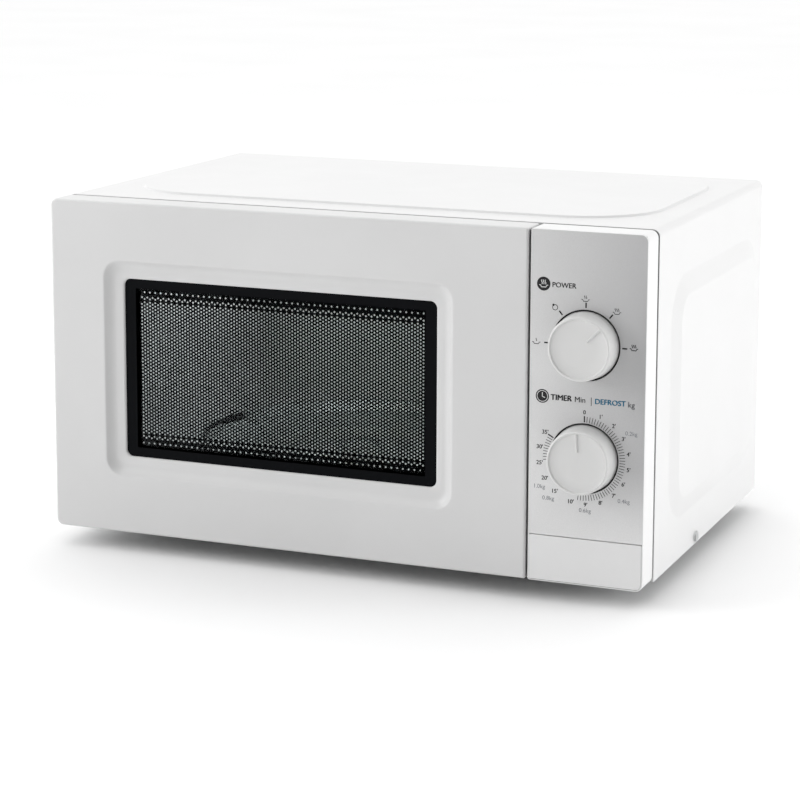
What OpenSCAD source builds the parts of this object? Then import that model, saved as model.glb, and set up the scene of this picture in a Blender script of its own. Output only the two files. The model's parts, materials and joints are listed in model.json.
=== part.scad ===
// Countertop microwave oven with a side-hung door, two rotary controls and a release button.
// Millimetres, real size. Z is up and the front faces -Y.
// The origin is on the floor, under the middle of the overall width and depth, knobs and gland included.

/* [Body] */
// Width of the front face, door and control panel together
front_w = 446; // [442:1:456]
// Height of the body, feet not counted
body_h = 241; // [239:1:250]
// Depth from the front face to the rear edge of the case
body_d = 302; // [300:1:320]
// Depth of the door and of the control panel
front_d = 24; // [23:0.5:25]
// Open seam between the front and the case
front_seam = 2.2; // [2.0:0.1:2.6]
// Height of the feet
foot_h = 15; // [10:1:20]
// Sheet thickness of the case
case_t = 0.8; // [0.6:0.1:1.0]
// Corner radius of the front and of the case
corner_r = 5; // [4:0.5:9]
// Height of the raised field on each side of the case
side_raise = 3.5; // [1.5:0.5:4.5]
// Height of the raised field on top of the case
top_raise = 1.5; // [1:0.25:2.5]

/* [Door] */
// Width of the door
door_w = 363.2; // [361:0.2:365]
// Seam between the door and the control panel
split_gap = 1.5; // [1.2:0.1:2.0]
// Visible width of the window glass
window_w = 240; // [220:1:244]
// Visible height of the window glass
window_h = 130; // [110:1:134]
// Width of the sunk ring round the glass
ring_w = 14; // [10:0.5:15]
// Depth of the sunk ring below the door's face
ring_depth = 5; // [3:0.5:5.5]
// Wall thickness of the door's plastic frame
door_t = 2.4; // [2.0:0.1:2.8]

/* [Controls] */
// Radius of a knob at its base
knob_r = 23.6; // [20:0.2:24]
// How far a knob stands out of the front face
knob_out = 15; // [12:0.5:18]
// Height of the power knob's centre above the bottom of the body
power_h = 164.5; // [161:0.5:168]
// Height of the timer knob's centre above the bottom of the body
timer_h = 87.6; // [86:0.2:92]
// Height of the release button
button_h = 32; // [30:0.5:33]
// Travel of the release button
button_travel = 4; // [3:0.5:4]

/* [Cavity] */
// Inside width of the cavity
cavity_w = 304; // [300:1:304]
// Inside height of the cavity
cavity_h = 204; // [196:1:204]
// Inside depth of the cavity
cavity_d = 266; // [258:1:266]

/* [Turntable] */
// Radius of the glass tray
tray_r = 122.5; // [110:0.5:124]
// Height of the tray's underside above the cavity floor
tray_h = 16; // [15:0.5:18]
// Radius at which the rollers run
track_r = 83; // [76:1:90]

/* [Hidden] */
$fn = 96;
eps = 0.01;
// body planes
x_l = -front_w / 2;
x_r = front_w / 2;
gland_out = 5;
y_f = (knob_out - gland_out - body_d) / 2;
y_b = y_f + body_d;
z_b = foot_h;
z_t = foot_h + body_h;
y_m = y_f + front_d;
y_c = y_m + front_seam;
// sheet metal
sheet = 0.8;
plate_t = 1;
y_p = y_c + plate_t;
wall_in = front_w / 2 - case_t;
// door and window
door_x1 = x_l + door_w;
panel_x0 = door_x1 + split_gap;
win_x = x_l + 175.9;
win_z = z_b + body_h / 2;
glass_t = 3;
glass_lap = 5;
lip_t = 2;
y_glass = y_f + ring_depth + lip_t;
y_screen = y_glass + glass_t;
screen_t = 0.5;
y_tray = y_screen + screen_t;
y_seal = y_m - 0.6;
// door's choke frame: outer and inner rectangle as x0, x1, z0, z1
choke_out = [x_l + 14, door_x1 - 15.2, z_b + 7, z_t - 7];
choke_in = [x_l + 24, door_x1 - 22.2, z_b + 17, z_t - 17];
// hinge axis
hinge_x = x_l + 6.4;
hinge_y = y_f + 14;
arm_w = 10;
arm_t = 2;
arm_gap = 0.6;
pin_r = 3;
pin_len = 12;
run_gap = 0.06;
arm_z_top = z_t - 12.4;
arm_z_low = z_b + 12.4;
// cavity
cav_x0 = x_l + 21;
cav_x1 = cav_x0 + cavity_w;
cav_z0 = z_b + 21;
cav_z1 = cav_z0 + cavity_h;
cav_y1 = y_p + cavity_d;
table_x = (cav_x0 + cav_x1) / 2;
table_y = (y_p + cav_y1) / 2;
// controls
knob_x = panel_x0 + 39.2;
power_z = z_b + power_h;
timer_z = z_b + timer_h;
overlay_t = 0.6;
panel_t = 1.6;
dial_recess = 3;
dial_gap = 1;
shaft_r = 3;
button_z1 = z_b + button_h;
button_top_gap = 0.6;
// latch
hook_x0 = door_x1 - 11.7;
hook_x1 = door_x1 - 4.7;
hook_tip_y = y_c + 18.8;
hook_low_z = z_b + 51;
hook_top_z = z_b + 181;
hook_arm_h = 8;
barb_h = 5.6;
ledge_gap = 0.3;
pivot_y = y_c + 5.8;
pivot_z = z_b + 43;
push_z = z_b + 25;
lever_x0 = hook_x0 + 3;
lever_x1 = hook_x0 + 7;
// right-hand compartment
bay_x = cav_x1 + sheet;
mag_z = z_b + 163;
mag_y = y_f + 181;
fan_x = bay_x + 62;
fan_z = mag_z;
tf_x = bay_x + 59.2;
tf_y = y_f + 151;

// Sub-part to draw, or all of them

// ---- helpers ----

// Box from its six faces
module block(x0, x1, y0, y1, z0, z1) {
  translate([x0, y0, z0]) cube([x1 - x0, y1 - y0, z1 - z0]);
}

// Flat shape in x and z, given thickness along y
module along_y(y0, y1) {
  translate([0, y1, 0]) rotate([90, 0, 0]) linear_extrude(y1 - y0) children();
}

// Flat shape in y and z, given thickness along x
module along_x(x0, x1) {
  translate([x0, 0, 0]) rotate([90, 0, 90]) linear_extrude(x1 - x0) children();
}

// Flat shape in x and y, given thickness along z
module along_z(z0, z1) {
  translate([0, 0, z0]) linear_extrude(z1 - z0) children();
}

// Round bar along y
module bar_y(x, z, r, y0, y1) {
  translate([x, y1, z]) rotate([90, 0, 0]) cylinder(r = r, h = y1 - y0);
}

// Round bar along x
module bar_x(y, z, r, x0, x1) {
  translate([x0, y, z]) rotate([0, 90, 0]) cylinder(r = r, h = x1 - x0);
}

// Round bar along z
module bar_z(x, y, r, z0, z1) {
  translate([x, y, z0]) cylinder(r = r, h = z1 - z0);
}

// Flat rectangle from two corners, all four corners round
module round_rect(x0, x1, y0, y1, r) {
  translate([x0 + r, y0]) square([x1 - x0 - 2 * r, y1 - y0]);
  translate([x0, y0 + r]) square([x1 - x0, y1 - y0 - 2 * r]);
  for (x = [x0 + r, x1 - r], y = [y0 + r, y1 - r]) translate([x, y]) circle(r);
}

// Flat rectangle with only its right-hand or left-hand corners round
module side_round(x0, x1, y0, y1, r, right) {
  round_rect(x0, x1, y0, y1, r);
  if (right) translate([x0, y0]) square([r + eps, y1 - y0]);
  else translate([x1 - r - eps, y0]) square([r + eps, y1 - y0]);
}

// Flat arch: square at the bottom, round at the two top corners
module arch(x0, x1, z0, z1, r) {
  round_rect(x0, x1, z0, z1, r);
  translate([x0, z0]) square([x1 - x0, r + eps]);
}

// Raised field standing on z = 0, its edge sloping in by run over its height
module field(w, d, r, run, h) {
  for (x = [-1, 1], y = [-1, 1]) {
    translate([x * (w / 2 - r), y * (d / 2 - r), 0]) cylinder(r1 = r, r2 = r - run, h = h);
  }
  rotate([90, 0, 0]) translate([0, 0, -(d / 2 - r)]) linear_extrude(d - 2 * r)
    polygon([[-w / 2, 0], [w / 2, 0], [w / 2 - run, h], [-w / 2 + run, h]]);
  rotate([90, 0, 90]) translate([0, 0, -(w / 2 - r)]) linear_extrude(w - 2 * r)
    polygon([[-d / 2, 0], [d / 2, 0], [d / 2 - run, h], [-d / 2 + run, h]]);
}

// Rows and columns of points, centred
module grid(nx, ny, dx, dy) {
  for (i = [0 : nx - 1], j = [0 : ny - 1]) {
    translate([(i - (nx - 1) / 2) * dx, (j - (ny - 1) / 2) * dy]) children();
  }
}

// Rounded slot lying along x
module slot(len, r) {
  square([len - 2 * r, 2 * r], center = true);
  for (s = [-1, 1]) translate([s * (len / 2 - r), 0]) circle(r);
}

// Points of a coil: ring k of six points round the wire
function coil_centre(r, pitch, a) = [r * cos(a), r * sin(a), pitch * a / 360];
function coil_point(r, wire, pitch, a, b) =
  let (c = coil_centre(r, pitch, a))
  [c[0] + wire * cos(b) * cos(a), c[1] + wire * cos(b) * sin(a), c[2] + wire * sin(b)];

// Coil spring standing on z = 0
module coil(r, wire, pitch, turns) {
  sides = 6;
  steps = turns * 16;
  points = [for (k = [0 : steps], s = [0 : sides - 1])
    coil_point(r, wire, pitch, k * 22.5, s * 360 / sides)];
  walls = [for (k = [0 : steps - 1], s = [0 : sides - 1])
    let (next = (s + 1) % sides)
    [k * sides + s, (k + 1) * sides + s, (k + 1) * sides + next, k * sides + next]];
  start = [[for (s = [0 : sides - 1]) s]];
  end = [[for (s = [0 : sides - 1]) steps * sides + sides - 1 - s]];
  polyhedron(points, concat(walls, start, end));
}

// ---- case and chassis ----

side_field_y0 = y_f + 57.5;
side_field_y1 = y_b - 14;
side_field_z0 = z_b + 29;
side_field_z1 = z_b + 203;
side_field_r = 34;
side_run = 16;
top_field_y0 = y_f + 53.5;
top_field_y1 = y_b - 18;
top_inset = 22.5;
top_field_r = 60;
top_run = 2.5;
screw_y = y_f + 130;
screw_z = z_b + 5.5;
back_screw_x = front_w / 2 - 6;
back_screws = [[-back_screw_x, z_b + 225], [back_screw_x, z_b + 225],
  [-back_screw_x, z_b + 30], [back_screw_x, z_b + 30]];
screw_hole_r = 1.9;

// The two side fields and the top field as solids, laid back by t
module case_fields(t) {
  mid_y = (side_field_y0 + side_field_y1) / 2;
  mid_z = (side_field_z0 + side_field_z1) / 2;
  for (s = [-1, 1]) {
    translate([s * (x_r - t), mid_y, mid_z]) rotate([90, 0, 90]) mirror([0, 0, s < 0 ? 1 : 0])
      field(side_field_y1 - side_field_y0, side_field_z1 - side_field_z0,
        side_field_r, side_run, side_raise);
  }
  translate([0, (top_field_y0 + top_field_y1) / 2, z_t - t])
    field(front_w - 2 * top_inset, top_field_y1 - top_field_y0, top_field_r, top_run, top_raise);
}

// Painted wrapper: top and both sides bent from one sheet, turned in at the rear edge
module outer_case() {
  flange = 12;
  color("white") difference() {
    union() {
      along_y(y_c, y_b) arch(x_l, x_r, z_b, z_t, corner_r);
      case_fields(0);
    }
    along_y(y_c - 1, y_b - case_t) {
      arch(x_l + case_t, x_r - case_t, z_b - 1, z_t - case_t, corner_r - case_t);
    }
    along_y(y_b - 2 * case_t, y_b + 1) arch(x_l + flange, x_r - flange, z_b - 1, z_t - flange, 4);
    case_fields(case_t);
    bar_x(screw_y, screw_z, screw_hole_r, x_l - 1, x_r + 1);
    for (p = back_screws) bar_y(p[0], p[1], screw_hole_r, y_b - 2, y_b + 1);
  }
}

// Bottom tray with side flanges, air slots and holes for the feet
foot_x = 185;
foot_y = [y_f + 74, y_b - 40];
foot_stud_r = 3.5;
module base_plate() {
  flange_h = 14;
  y0 = y_p + 2;
  y1 = y_b - 2 * case_t;
  color("silver") difference() {
    union() {
      block(-wall_in, wall_in, y0, y1, z_b, z_b + plate_t);
      for (s = [-1, 1]) {
        block(min(s * wall_in, s * (wall_in - plate_t)), max(s * wall_in, s * (wall_in - plate_t)),
          y0, y1, z_b, z_b + flange_h);
      }
    }
    for (x = [-foot_x, foot_x], y = foot_y) bar_z(x, y, foot_stud_r + 0.1, z_b - 1, z_b + 2);
    along_z(z_b - 1, z_b + 2) translate([bay_x + 38, y_f + 84]) grid(2, 6, 34, 7) slot(26, 1.5);
    along_z(z_b - 1, z_b + 2) translate([table_x, table_y + 70]) grid(4, 5, 34, 7) slot(26, 1.5);
    bar_x(screw_y, screw_z, screw_hole_r, -wall_in - 1, wall_in + 1);
  }
}

// Rear sheet: fan air inlet, exhaust slots, cord inlet hole and screw holes
gland_x = 185;
gland_z = z_b + 45;
gland_hole_r = 6;
back_y0 = y_b - 2 * case_t;
module back_plate() {
  vent_r = 40;
  color("silver") difference() {
    along_y(back_y0, y_b - case_t) arch(-wall_in, wall_in, z_b + plate_t, z_t - case_t, corner_r - case_t);
    along_y(back_y0 - 1, y_b) {
      translate([fan_x, fan_z]) for (row = [-5 : 5]) {
        translate([0, row * 7]) slot(2 * sqrt(vent_r * vent_r - row * row * 49) + 10, 1.8);
      }
      translate([cav_x0 + 60, z_t - 40]) grid(3, 6, 34, 7) slot(28, 1.6);
    }
    bar_y(gland_x, gland_z, gland_hole_r, back_y0 - 1, y_b);
    for (p = back_screws) bar_y(p[0], p[1], screw_hole_r, back_y0 - 1, y_b);
  }
}

// Steel plate round the cavity mouth, running on behind the control panel
module front_frame() {
  color("gainsboro") difference() {
    along_y(y_c, y_p) arch(-wall_in, wall_in, z_b, z_t - case_t, corner_r - case_t);
    block(cav_x0, cav_x1, y_c - 1, y_p + 1, cav_z0, cav_z1);
    for (z = [hook_low_z, hook_top_z]) {
      block(hook_x0 - 2, hook_x1 + 3.5, y_c - 1, y_p + 1, z - 8, z + hook_arm_h + 6);
    }
    for (z = [arm_z_low, arm_z_top]) {
      block(-wall_in - 1, hinge_x + arm_w / 2 + arm_gap, y_c - 1, y_p + 1, z - 1.6, z + 1.6);
    }
    block(panel_x0 + 12, wall_in - 9, y_c - 1, y_p + 1, z_b + 46, z_t - 12);
    block(panel_x0 + 2, wall_in - 9, y_c - 1, y_p + 1, z_b + 8, z_b + 36);
  }
}

// ---- cavity and microwave source ----

// Open-fronted box, with the feed port, lamp and air holes, and the drive hole
port_y = [mag_y - 24, mag_y + 24];
port_z = [mag_z - 22, mag_z + 14];
lamp_y = y_f + 103;
lamp_z = cav_z1 - 16;
inlet_y = y_f + 92;
module cavity_shell() {
  wall_r = 8;
  color("whitesmoke") difference() {
    along_z(cav_z0 - sheet, cav_z1 + sheet) {
      round_rect(cav_x0 - sheet, cav_x1 + sheet, y_p, cav_y1 + sheet, wall_r + sheet);
      translate([cav_x0 - sheet, y_p]) square([cavity_w + 2 * sheet, 2 * wall_r]);
    }
    along_z(cav_z0, cav_z1) {
      round_rect(cav_x0, cav_x1, y_p - 2 * wall_r, cav_y1, wall_r);
    }
    bar_z(table_x, table_y, 9, cav_z0 - 2, cav_z0 + 1);
    block(cav_x1 - 1, cav_x1 + 2, port_y[0], port_y[1], port_z[0], port_z[1]);
    along_x(cav_x1 - 1, cav_x1 + 2) {
      translate([lamp_y, lamp_z]) grid(5, 3, 5, 5) circle(1.5);
      translate([inlet_y, mag_z]) grid(5, 6, 8, 8) circle(2);
    }
    along_y(cav_y1 - 1, cav_y1 + 2) translate([cav_x0 + 60, cav_z1 - 24]) grid(9, 4, 8, 8) circle(2);
  }
}

// Folded channel that carries the waves from the aerial to the port
guide_d = 30;
guide_y = [mag_y - 38, mag_y + 38];
guide_z = [mag_z - 36, mag_z + 34];
module waveguide() {
  flange = 7;
  color("silver") difference() {
    union() {
      block(bay_x, bay_x + guide_d, guide_y[0], guide_y[1], guide_z[0], guide_z[1]);
      block(bay_x, bay_x + sheet, guide_y[0] - flange, guide_y[1] + flange,
        guide_z[0] - flange, guide_z[1] + flange);
    }
    block(bay_x - 1, bay_x + guide_d - sheet, guide_y[0] + sheet, guide_y[1] - sheet,
      guide_z[0] + sheet, guide_z[1] - sheet);
    bar_x(mag_y, mag_z, 16, bay_x + guide_d - 2, bay_x + guide_d + 1);
  }
}

// Thin mica sheet over the port, inside the cavity
module waveguide_cover() {
  color("tan") block(cav_x1 - 0.6, cav_x1, port_y[0] - 8, port_y[1] + 8, port_z[0] - 8, port_z[1] + 8);
}

// Steel loop that holds the magnets and cooling fins
yoke_x0 = bay_x + guide_d;
yoke_x1 = yoke_x0 + 56;
yoke_t = 1.6;
module magnetron_yoke() {
  half_y = 30;
  half_z = 38;
  color("silver") difference() {
    block(yoke_x0, yoke_x1, mag_y - half_y, mag_y + half_y, mag_z - half_z, mag_z + half_z);
    block(yoke_x0 + yoke_t, yoke_x1 - yoke_t, mag_y - half_y - 1, mag_y + half_y + 1,
      mag_z - half_z + yoke_t, mag_z + half_z - yoke_t);
    bar_x(mag_y, mag_z, 13, yoke_x0 - 1, yoke_x1 + 1);
  }
}

// Anode barrel between two ring magnets, with the aerial standing into the waveguide
module magnetron_anode() {
  color("goldenrod") {
    bar_x(mag_y, mag_z, 19, yoke_x0 + 9, yoke_x1 - 9);
    bar_x(mag_y, mag_z, 27, yoke_x0 + yoke_t, yoke_x0 + 9);
    bar_x(mag_y, mag_z, 27, yoke_x1 - 9, yoke_x1 - yoke_t);
    bar_x(mag_y, mag_z, 12, yoke_x0 - 4, yoke_x0 + 9);
    bar_x(mag_y, mag_z, 8, yoke_x0 - 20, yoke_x0 - 4);
  }
}

// Stack of thin cooling fins round the anode barrel
module magnetron_fins() {
  fins = 8;
  fin_t = 0.6;
  fin_x = yoke_x0 + 12.3;
  pitch = 4.4;
  half_y = 27;
  half_z = 36.2;
  color("lightgray") difference() {
    union() {
      for (k = [0 : fins - 1]) {
        x = fin_x + k * pitch;
        block(x, x + fin_t, mag_y - half_y, mag_y + half_y, mag_z - half_z, mag_z + half_z);
      }
      for (z = [mag_z - half_z, mag_z + half_z - fin_t]) {
        block(fin_x, fin_x + fin_t + (fins - 1) * pitch, mag_y - half_y, mag_y + half_y, z, z + fin_t);
      }
    }
    bar_x(mag_y, mag_z, 19.05, yoke_x0 + 8, yoke_x1 - 8);
  }
}

// Shielded filter box on the end of the magnetron, with its two-pin plug
module magnetron_filter() {
  color("silver") {
    block(yoke_x1, yoke_x1 + 19, mag_y - 26, mag_y + 26, mag_z - 30, mag_z + 30);
  }
  color("silver") block(yoke_x1 + 4, yoke_x1 + 15, mag_y - 38, mag_y - 26, mag_z - 12, mag_z + 6);
}

// ---- power supply ----

// Laminated core with two windows, on its mounting plate
module transformer_core() {
  half_x = 42;
  half_y = 30;
  leg = 14;
  z0 = z_b + plate_t + 2;
  z1 = z0 + 74;
  gap_w = 14;
  color("dimgray") difference() {
    union() {
      block(tf_x - half_x, tf_x + half_x, tf_y - half_y, tf_y + half_y, z0, z1);
      block(tf_x - half_x - 5, tf_x + half_x + 5, tf_y - half_y + 6, tf_y + half_y - 6, z0 - 2, z0);
    }
    for (x = [tf_x - leg - gap_w, tf_x + leg]) {
      block(x, x + gap_w, tf_y - half_y - 1, tf_y + half_y + 1, z0 + leg, z1 - leg);
    }
  }
}

// Primary and secondary windings round the middle leg
module transformer_coils() {
  z0 = z_b + plate_t + 16.5;
  coil_x = 27.5;
  coil_y = 44;
  leg_x = 14.3;
  leg_y = 30.3;
  color("peru") for (span = [[0, 20], [24, 45]]) {
    along_z(z0 + span[0], z0 + span[1]) difference() {
      round_rect(tf_x - coil_x, tf_x + coil_x, tf_y - coil_y, tf_y + coil_y, 12);
      translate([tf_x - leg_x, tf_y - leg_y]) square([2 * leg_x, 2 * leg_y]);
    }
  }
}

// Flat-sided high-voltage capacitor lying behind the transformer
cap_x = bay_x + 52;
cap_y = [y_f + 205, y_f + 292];
cap_r = 16;
cap_half = 26;
cap_z = z_b + plate_t + cap_r + 1;
module hv_capacitor() {
  color("gainsboro") {
    along_y(cap_y[0], cap_y[1]) translate([cap_x, cap_z]) slot(2 * cap_half, cap_r);
    for (x = [cap_x - 12, cap_x + 12]) {
      block(x - 3, x + 3, cap_y[0] - 9, cap_y[0], cap_z - 0.4, cap_z + 0.4);
    }
  }
}

// Strap over the capacitor, screwed to the base
module capacitor_clamp() {
  y0 = cap_y[0] + 36;
  gap = 0.1;
  strap = 1;
  color("silver") difference() {
    along_y(y0, y0 + 16) {
      translate([cap_x, cap_z]) slot(2 * (cap_half + gap + strap), cap_r + gap + strap);
      translate([cap_x - cap_half - gap - strap, z_b + plate_t])
        square([2 * (cap_half + gap + strap), cap_r]);
      translate([cap_x - cap_half - 12, z_b + plate_t]) square([2 * cap_half + 24, strap]);
    }
    along_y(y0 - 1, y0 + 17) {
      translate([cap_x, cap_z]) slot(2 * (cap_half + gap), cap_r + gap);
      translate([cap_x - cap_half - gap, z_b]) square([2 * (cap_half + gap), cap_r + plate_t]);
    }
  }
}

// High-voltage diode with its earth tab, on the base beside the capacitor
module hv_diode() {
  x = bay_x + 88;
  z = z_b + plate_t;
  color("black") {
    block(x, x + 8, cap_y[0], cap_y[0] + 22, z, z + 8);
    block(x + 2, x + 6, cap_y[0] + 22, cap_y[0] + 36, z, z + 1);
  }
}

// Mains filter board on posts, with choke, capacitor, resistor and fuse clips
filter_x = bay_x + 12;
filter_y = y_f + 52;
filter_z = z_b + 10;
module noise_filter() {
  w = 62;
  d = 46;
  color("darkgreen") {
    block(filter_x, filter_x + w, filter_y, filter_y + d, filter_z, filter_z + 1.6);
    for (x = [filter_x + 5, filter_x + w - 5], y = [filter_y + 5, filter_y + d - 5]) {
      bar_z(x, y, 2.5, z_b + plate_t, filter_z);
    }
    block(filter_x + 8, filter_x + 30, filter_y + 16, filter_y + 40, filter_z + 1.6, filter_z + 18);
    block(filter_x + 36, filter_x + 56, filter_y + 24, filter_y + 34, filter_z + 1.6, filter_z + 16);
    for (x = [filter_x + 14, filter_x + 36]) {
      difference() {
        block(x, x + 5, filter_y + 4, filter_y + 13, filter_z + 1.6, filter_z + 10);
        block(x - 1, x + 6, filter_y + 5, filter_y + 12, filter_z + 2.6, filter_z + 11);
      }
    }
  }
}

// Tubular fuse in the clips
module fuse() {
  y = filter_y + 8.5;
  z = filter_z + 6;
  color("silver") {
    bar_x(y, z, 2.6, filter_x + 18, filter_x + 37);
    bar_x(y, z, 3.2, filter_x + 13, filter_x + 20);
    bar_x(y, z, 3.2, filter_x + 35, filter_x + 42);
  }
}

// Overheat switch disc with two tabs, standing on z = 0
module cutout_disc() {
  cylinder(r = 12, h = 1);
  cylinder(r = 8, h = 7);
  for (x = [-4, 4]) translate([x - 0.4, -3, 7]) cube([0.8, 6, 4]);
}

// Overheat switches on top of the cavity and on top of the magnetron
module thermal_cutouts() {
  color("ivory") {
    translate([table_x + 110, table_y + 60, cav_z1 + sheet]) cutout_disc();
    translate([yoke_x0 + 28, mag_y, mag_z + 38]) cutout_disc();
  }
}

// Clear bulb behind the cavity's lamp holes: a ball on a straight neck, turned as one outline
lamp_x = bay_x + 30;
module cavity_lamp() {
  ball_x = bay_x + 12;
  ball_r = 8;
  neck_r = 6;
  color("lightyellow") translate([ball_x, lamp_y, lamp_z]) rotate([0, 90, 0]) rotate_extrude() {
    intersection() {
      circle(ball_r);
      translate([0, -ball_r]) square([ball_r, 2 * ball_r]);
    }
    square([neck_r, lamp_x - ball_x]);
  }
}

// Bracket and socket that hold the bulb to the cavity wall
module lamp_holder() {
  color("ivory") difference() {
    union() {
      bar_x(lamp_y, lamp_z, 9, lamp_x - 6, lamp_x + 8);
      block(bay_x, lamp_x - 4, lamp_y - 14, lamp_y - 12, lamp_z - 9, lamp_z + 9);
      block(lamp_x - 6, lamp_x - 4, lamp_y - 14, lamp_y, lamp_z - 9, lamp_z + 9);
    }
    bar_x(lamp_y, lamp_z, 6.1, lamp_x - 7, lamp_x);
  }
}

// ---- cooling air ----

// Plastic duct from the magnetron to the cavity's air holes
module air_duct() {
  t = 1.5;
  y0 = inlet_y - 24;
  y1 = guide_y[0] - 9;
  x1 = yoke_x1;
  color("lightgray") difference() {
    block(bay_x, x1, y0, y1, mag_z - 36, mag_z + 34);
    block(bay_x - 1, x1 - t, y0 + t, y1 + 1, mag_z - 36 + t, mag_z + 34 - t);
  }
}

// Square housing round the fan, open to the rear vents
shroud_half = 48;
shroud_y0 = y_f + 259;
module fan_shroud() {
  t = 2;
  color("lightgray") difference() {
    block(fan_x - shroud_half, fan_x + shroud_half, shroud_y0, back_y0,
      fan_z - shroud_half, fan_z + shroud_half);
    block(fan_x - shroud_half + t, fan_x + shroud_half - t, shroud_y0 + t, back_y0 + 1,
      fan_z - shroud_half + t, fan_z + shroud_half - t);
    bar_y(fan_x, fan_z, 44, shroud_y0 - 1, shroud_y0 + t + 1);
  }
}

// Shaded-pole motor on a strap across the housing
fan_shaft_r = 2.5;
fan_motor_y = shroud_y0 + 18;
module fan_motor() {
  color("dimgray") difference() {
    union() {
      block(fan_x - 27, fan_x + 27, fan_motor_y, fan_motor_y + 11, fan_z - 30, fan_z + 18);
      block(fan_x - shroud_half + 2, fan_x + shroud_half - 2, fan_motor_y + 11, fan_motor_y + 12.5,
        fan_z - 6, fan_z + 6);
      bar_x(fan_motor_y + 10.5, fan_z - 23, 10, fan_x - 16, fan_x + 16);
    }
    bar_y(fan_x, fan_z, fan_shaft_r + run_gap, fan_motor_y - 1, fan_motor_y + 10);
  }
}

// Fan wheel and its shaft
module fan_rotor() {
  blades = 5;
  pitch_deg = 28;
  hub_y0 = shroud_y0 + 3;
  hub_y1 = fan_motor_y - 1.5;
  mid_y = (hub_y0 + hub_y1) / 2;
  color("silver") {
    bar_y(fan_x, fan_z, 9, hub_y0, hub_y1);
    bar_y(fan_x, fan_z, fan_shaft_r, hub_y0, fan_motor_y + 9);
    for (k = [0 : blades - 1]) {
      translate([fan_x, mid_y, fan_z]) rotate([0, k * 360 / blades, 0]) rotate([0, 0, pitch_deg])
        translate([-13, -0.6, 7.5]) cube([26, 1.2, 32]);
    }
  }
}

// ---- turntable ----

// Flat synchronous motor under the cavity floor
motor_r = 24;
shaft_drive_r = 3.5;
motor_z0 = cav_z0 - sheet - 15;
module turntable_motor() {
  color("silver") difference() {
    union() {
      bar_z(table_x, table_y, motor_r, motor_z0, cav_z0 - sheet);
      block(table_x - 31, table_x + 31, table_y - 7, table_y + 7, cav_z0 - sheet - 1, cav_z0 - sheet);
      block(table_x - 8, table_x + 8, table_y - 32, table_y - 20, motor_z0, motor_z0 + 9);
    }
    bar_z(table_x, table_y, shaft_drive_r + run_gap, motor_z0 + 3, cav_z0);
  }
}

// Steel shaft from the motor up into the coupler
hub_z0 = cav_z0 + 1.5;
hub_z1 = cav_z0 + tray_h - 3;
module drive_shaft() {
  color("silver") bar_z(table_x, table_y, shaft_drive_r, motor_z0 + 3.3, hub_z1 - 3);
}

// Three-lobed plastic hub that turns the tray
module turntable_coupler() {
  lobes = 3;
  color("white") difference() {
    union() {
      bar_z(table_x, table_y, 9, hub_z0, hub_z1);
      for (k = [0 : lobes - 1]) {
        translate([table_x, table_y, hub_z0]) rotate([0, 0, k * 360 / lobes])
          translate([0, -3, 0]) cube([14, 6, hub_z1 - hub_z0]);
      }
    }
    bar_z(table_x, table_y, shaft_drive_r + 0.03, hub_z0 - 1, hub_z1 - 2.9);
  }
}

// Round glass tray with a raised rim, and a ring with three lugs underneath
tray_z = cav_z0 + tray_h;
module glass_tray() {
  glass = 5;
  rim_h = 12;
  rim_w = 4.5;
  lugs = 3;
  socket_r = 15;
  color("lightcyan") {
    difference() {
      bar_z(table_x, table_y, tray_r, tray_z, tray_z + rim_h);
      translate([table_x, table_y, tray_z + glass])
        cylinder(r1 = tray_r - rim_w - 6, r2 = tray_r - rim_w + 2, h = rim_h - glass + eps);
    }
    difference() {
      bar_z(table_x, table_y, socket_r + 4, tray_z - 7, tray_z);
      bar_z(table_x, table_y, socket_r, tray_z - 8, tray_z);
    }
    for (k = [0 : lugs - 1]) {
      translate([table_x, table_y, tray_z - 7]) rotate([0, 0, 60 + k * 360 / lugs])
        translate([10, -3, 0]) cube([5.5, 6, 7]);
    }
  }
}

// Ring that carries three rollers on short axles
roller_w = 6;
roller_r = tray_h / 2 - 0.3;
roller_z = cav_z0 + tray_h / 2;
axle_r = 1.8;
roller_side = 0.4;
module roller_ring() {
  ring_in = track_r - roller_w / 2 - roller_side - 7;
  ring_out = track_r - roller_w / 2 - roller_side;
  half_h = 3;
  color("white") {
    difference() {
      bar_z(table_x, table_y, ring_out, roller_z - half_h, roller_z + half_h);
      bar_z(table_x, table_y, ring_in, roller_z - half_h - 1, roller_z + half_h + 1);
    }
    for (k = [0 : 2]) {
      translate([table_x, table_y, roller_z]) rotate([0, 0, 90 + k * 120]) {
        bar_x(0, 0, axle_r, ring_out - 2, track_r + roller_w / 2 + roller_side + 1);
        bar_x(0, 0, 3.2, track_r + roller_w / 2 + roller_side, track_r + roller_w / 2 + roller_side + 2);
      }
    }
  }
}

// One roller, at k thirds of a turn
module roller(k) {
  color("white") translate([table_x, table_y, roller_z]) rotate([0, 0, 90 + k * 120]) difference() {
    bar_x(0, 0, roller_r, track_r - roller_w / 2, track_r + roller_w / 2);
    bar_x(0, 0, axle_r + run_gap, track_r - roller_w, track_r + roller_w);
    for (x = [track_r - roller_w / 2 - 1, track_r + roller_w / 2 - 1]) {
      translate([x, 0, 0]) rotate([0, 90, 0]) difference() {
        cylinder(r = roller_r - 1.8, h = 2);
        translate([0, 0, -1]) cylinder(r = 3.6, h = 4);
      }
    }
  }
}

module roller_1() {
  roller(0);
}

module roller_2() {
  roller(1);
}

module roller_3() {
  roller(2);
}

// ---- door ----

// Clearance slot for one hinge arm in the door's hinge edge, wide enough for the arm when the door is open
module hinge_cut(arm_z) {
  front_room = 3;
  block(x_l - 1, hinge_x + arm_w / 2 + 0.5, hinge_y - arm_w / 2 - front_room, y_m + 1,
    arm_z - 1.6, arm_z + 1.6);
}

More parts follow.
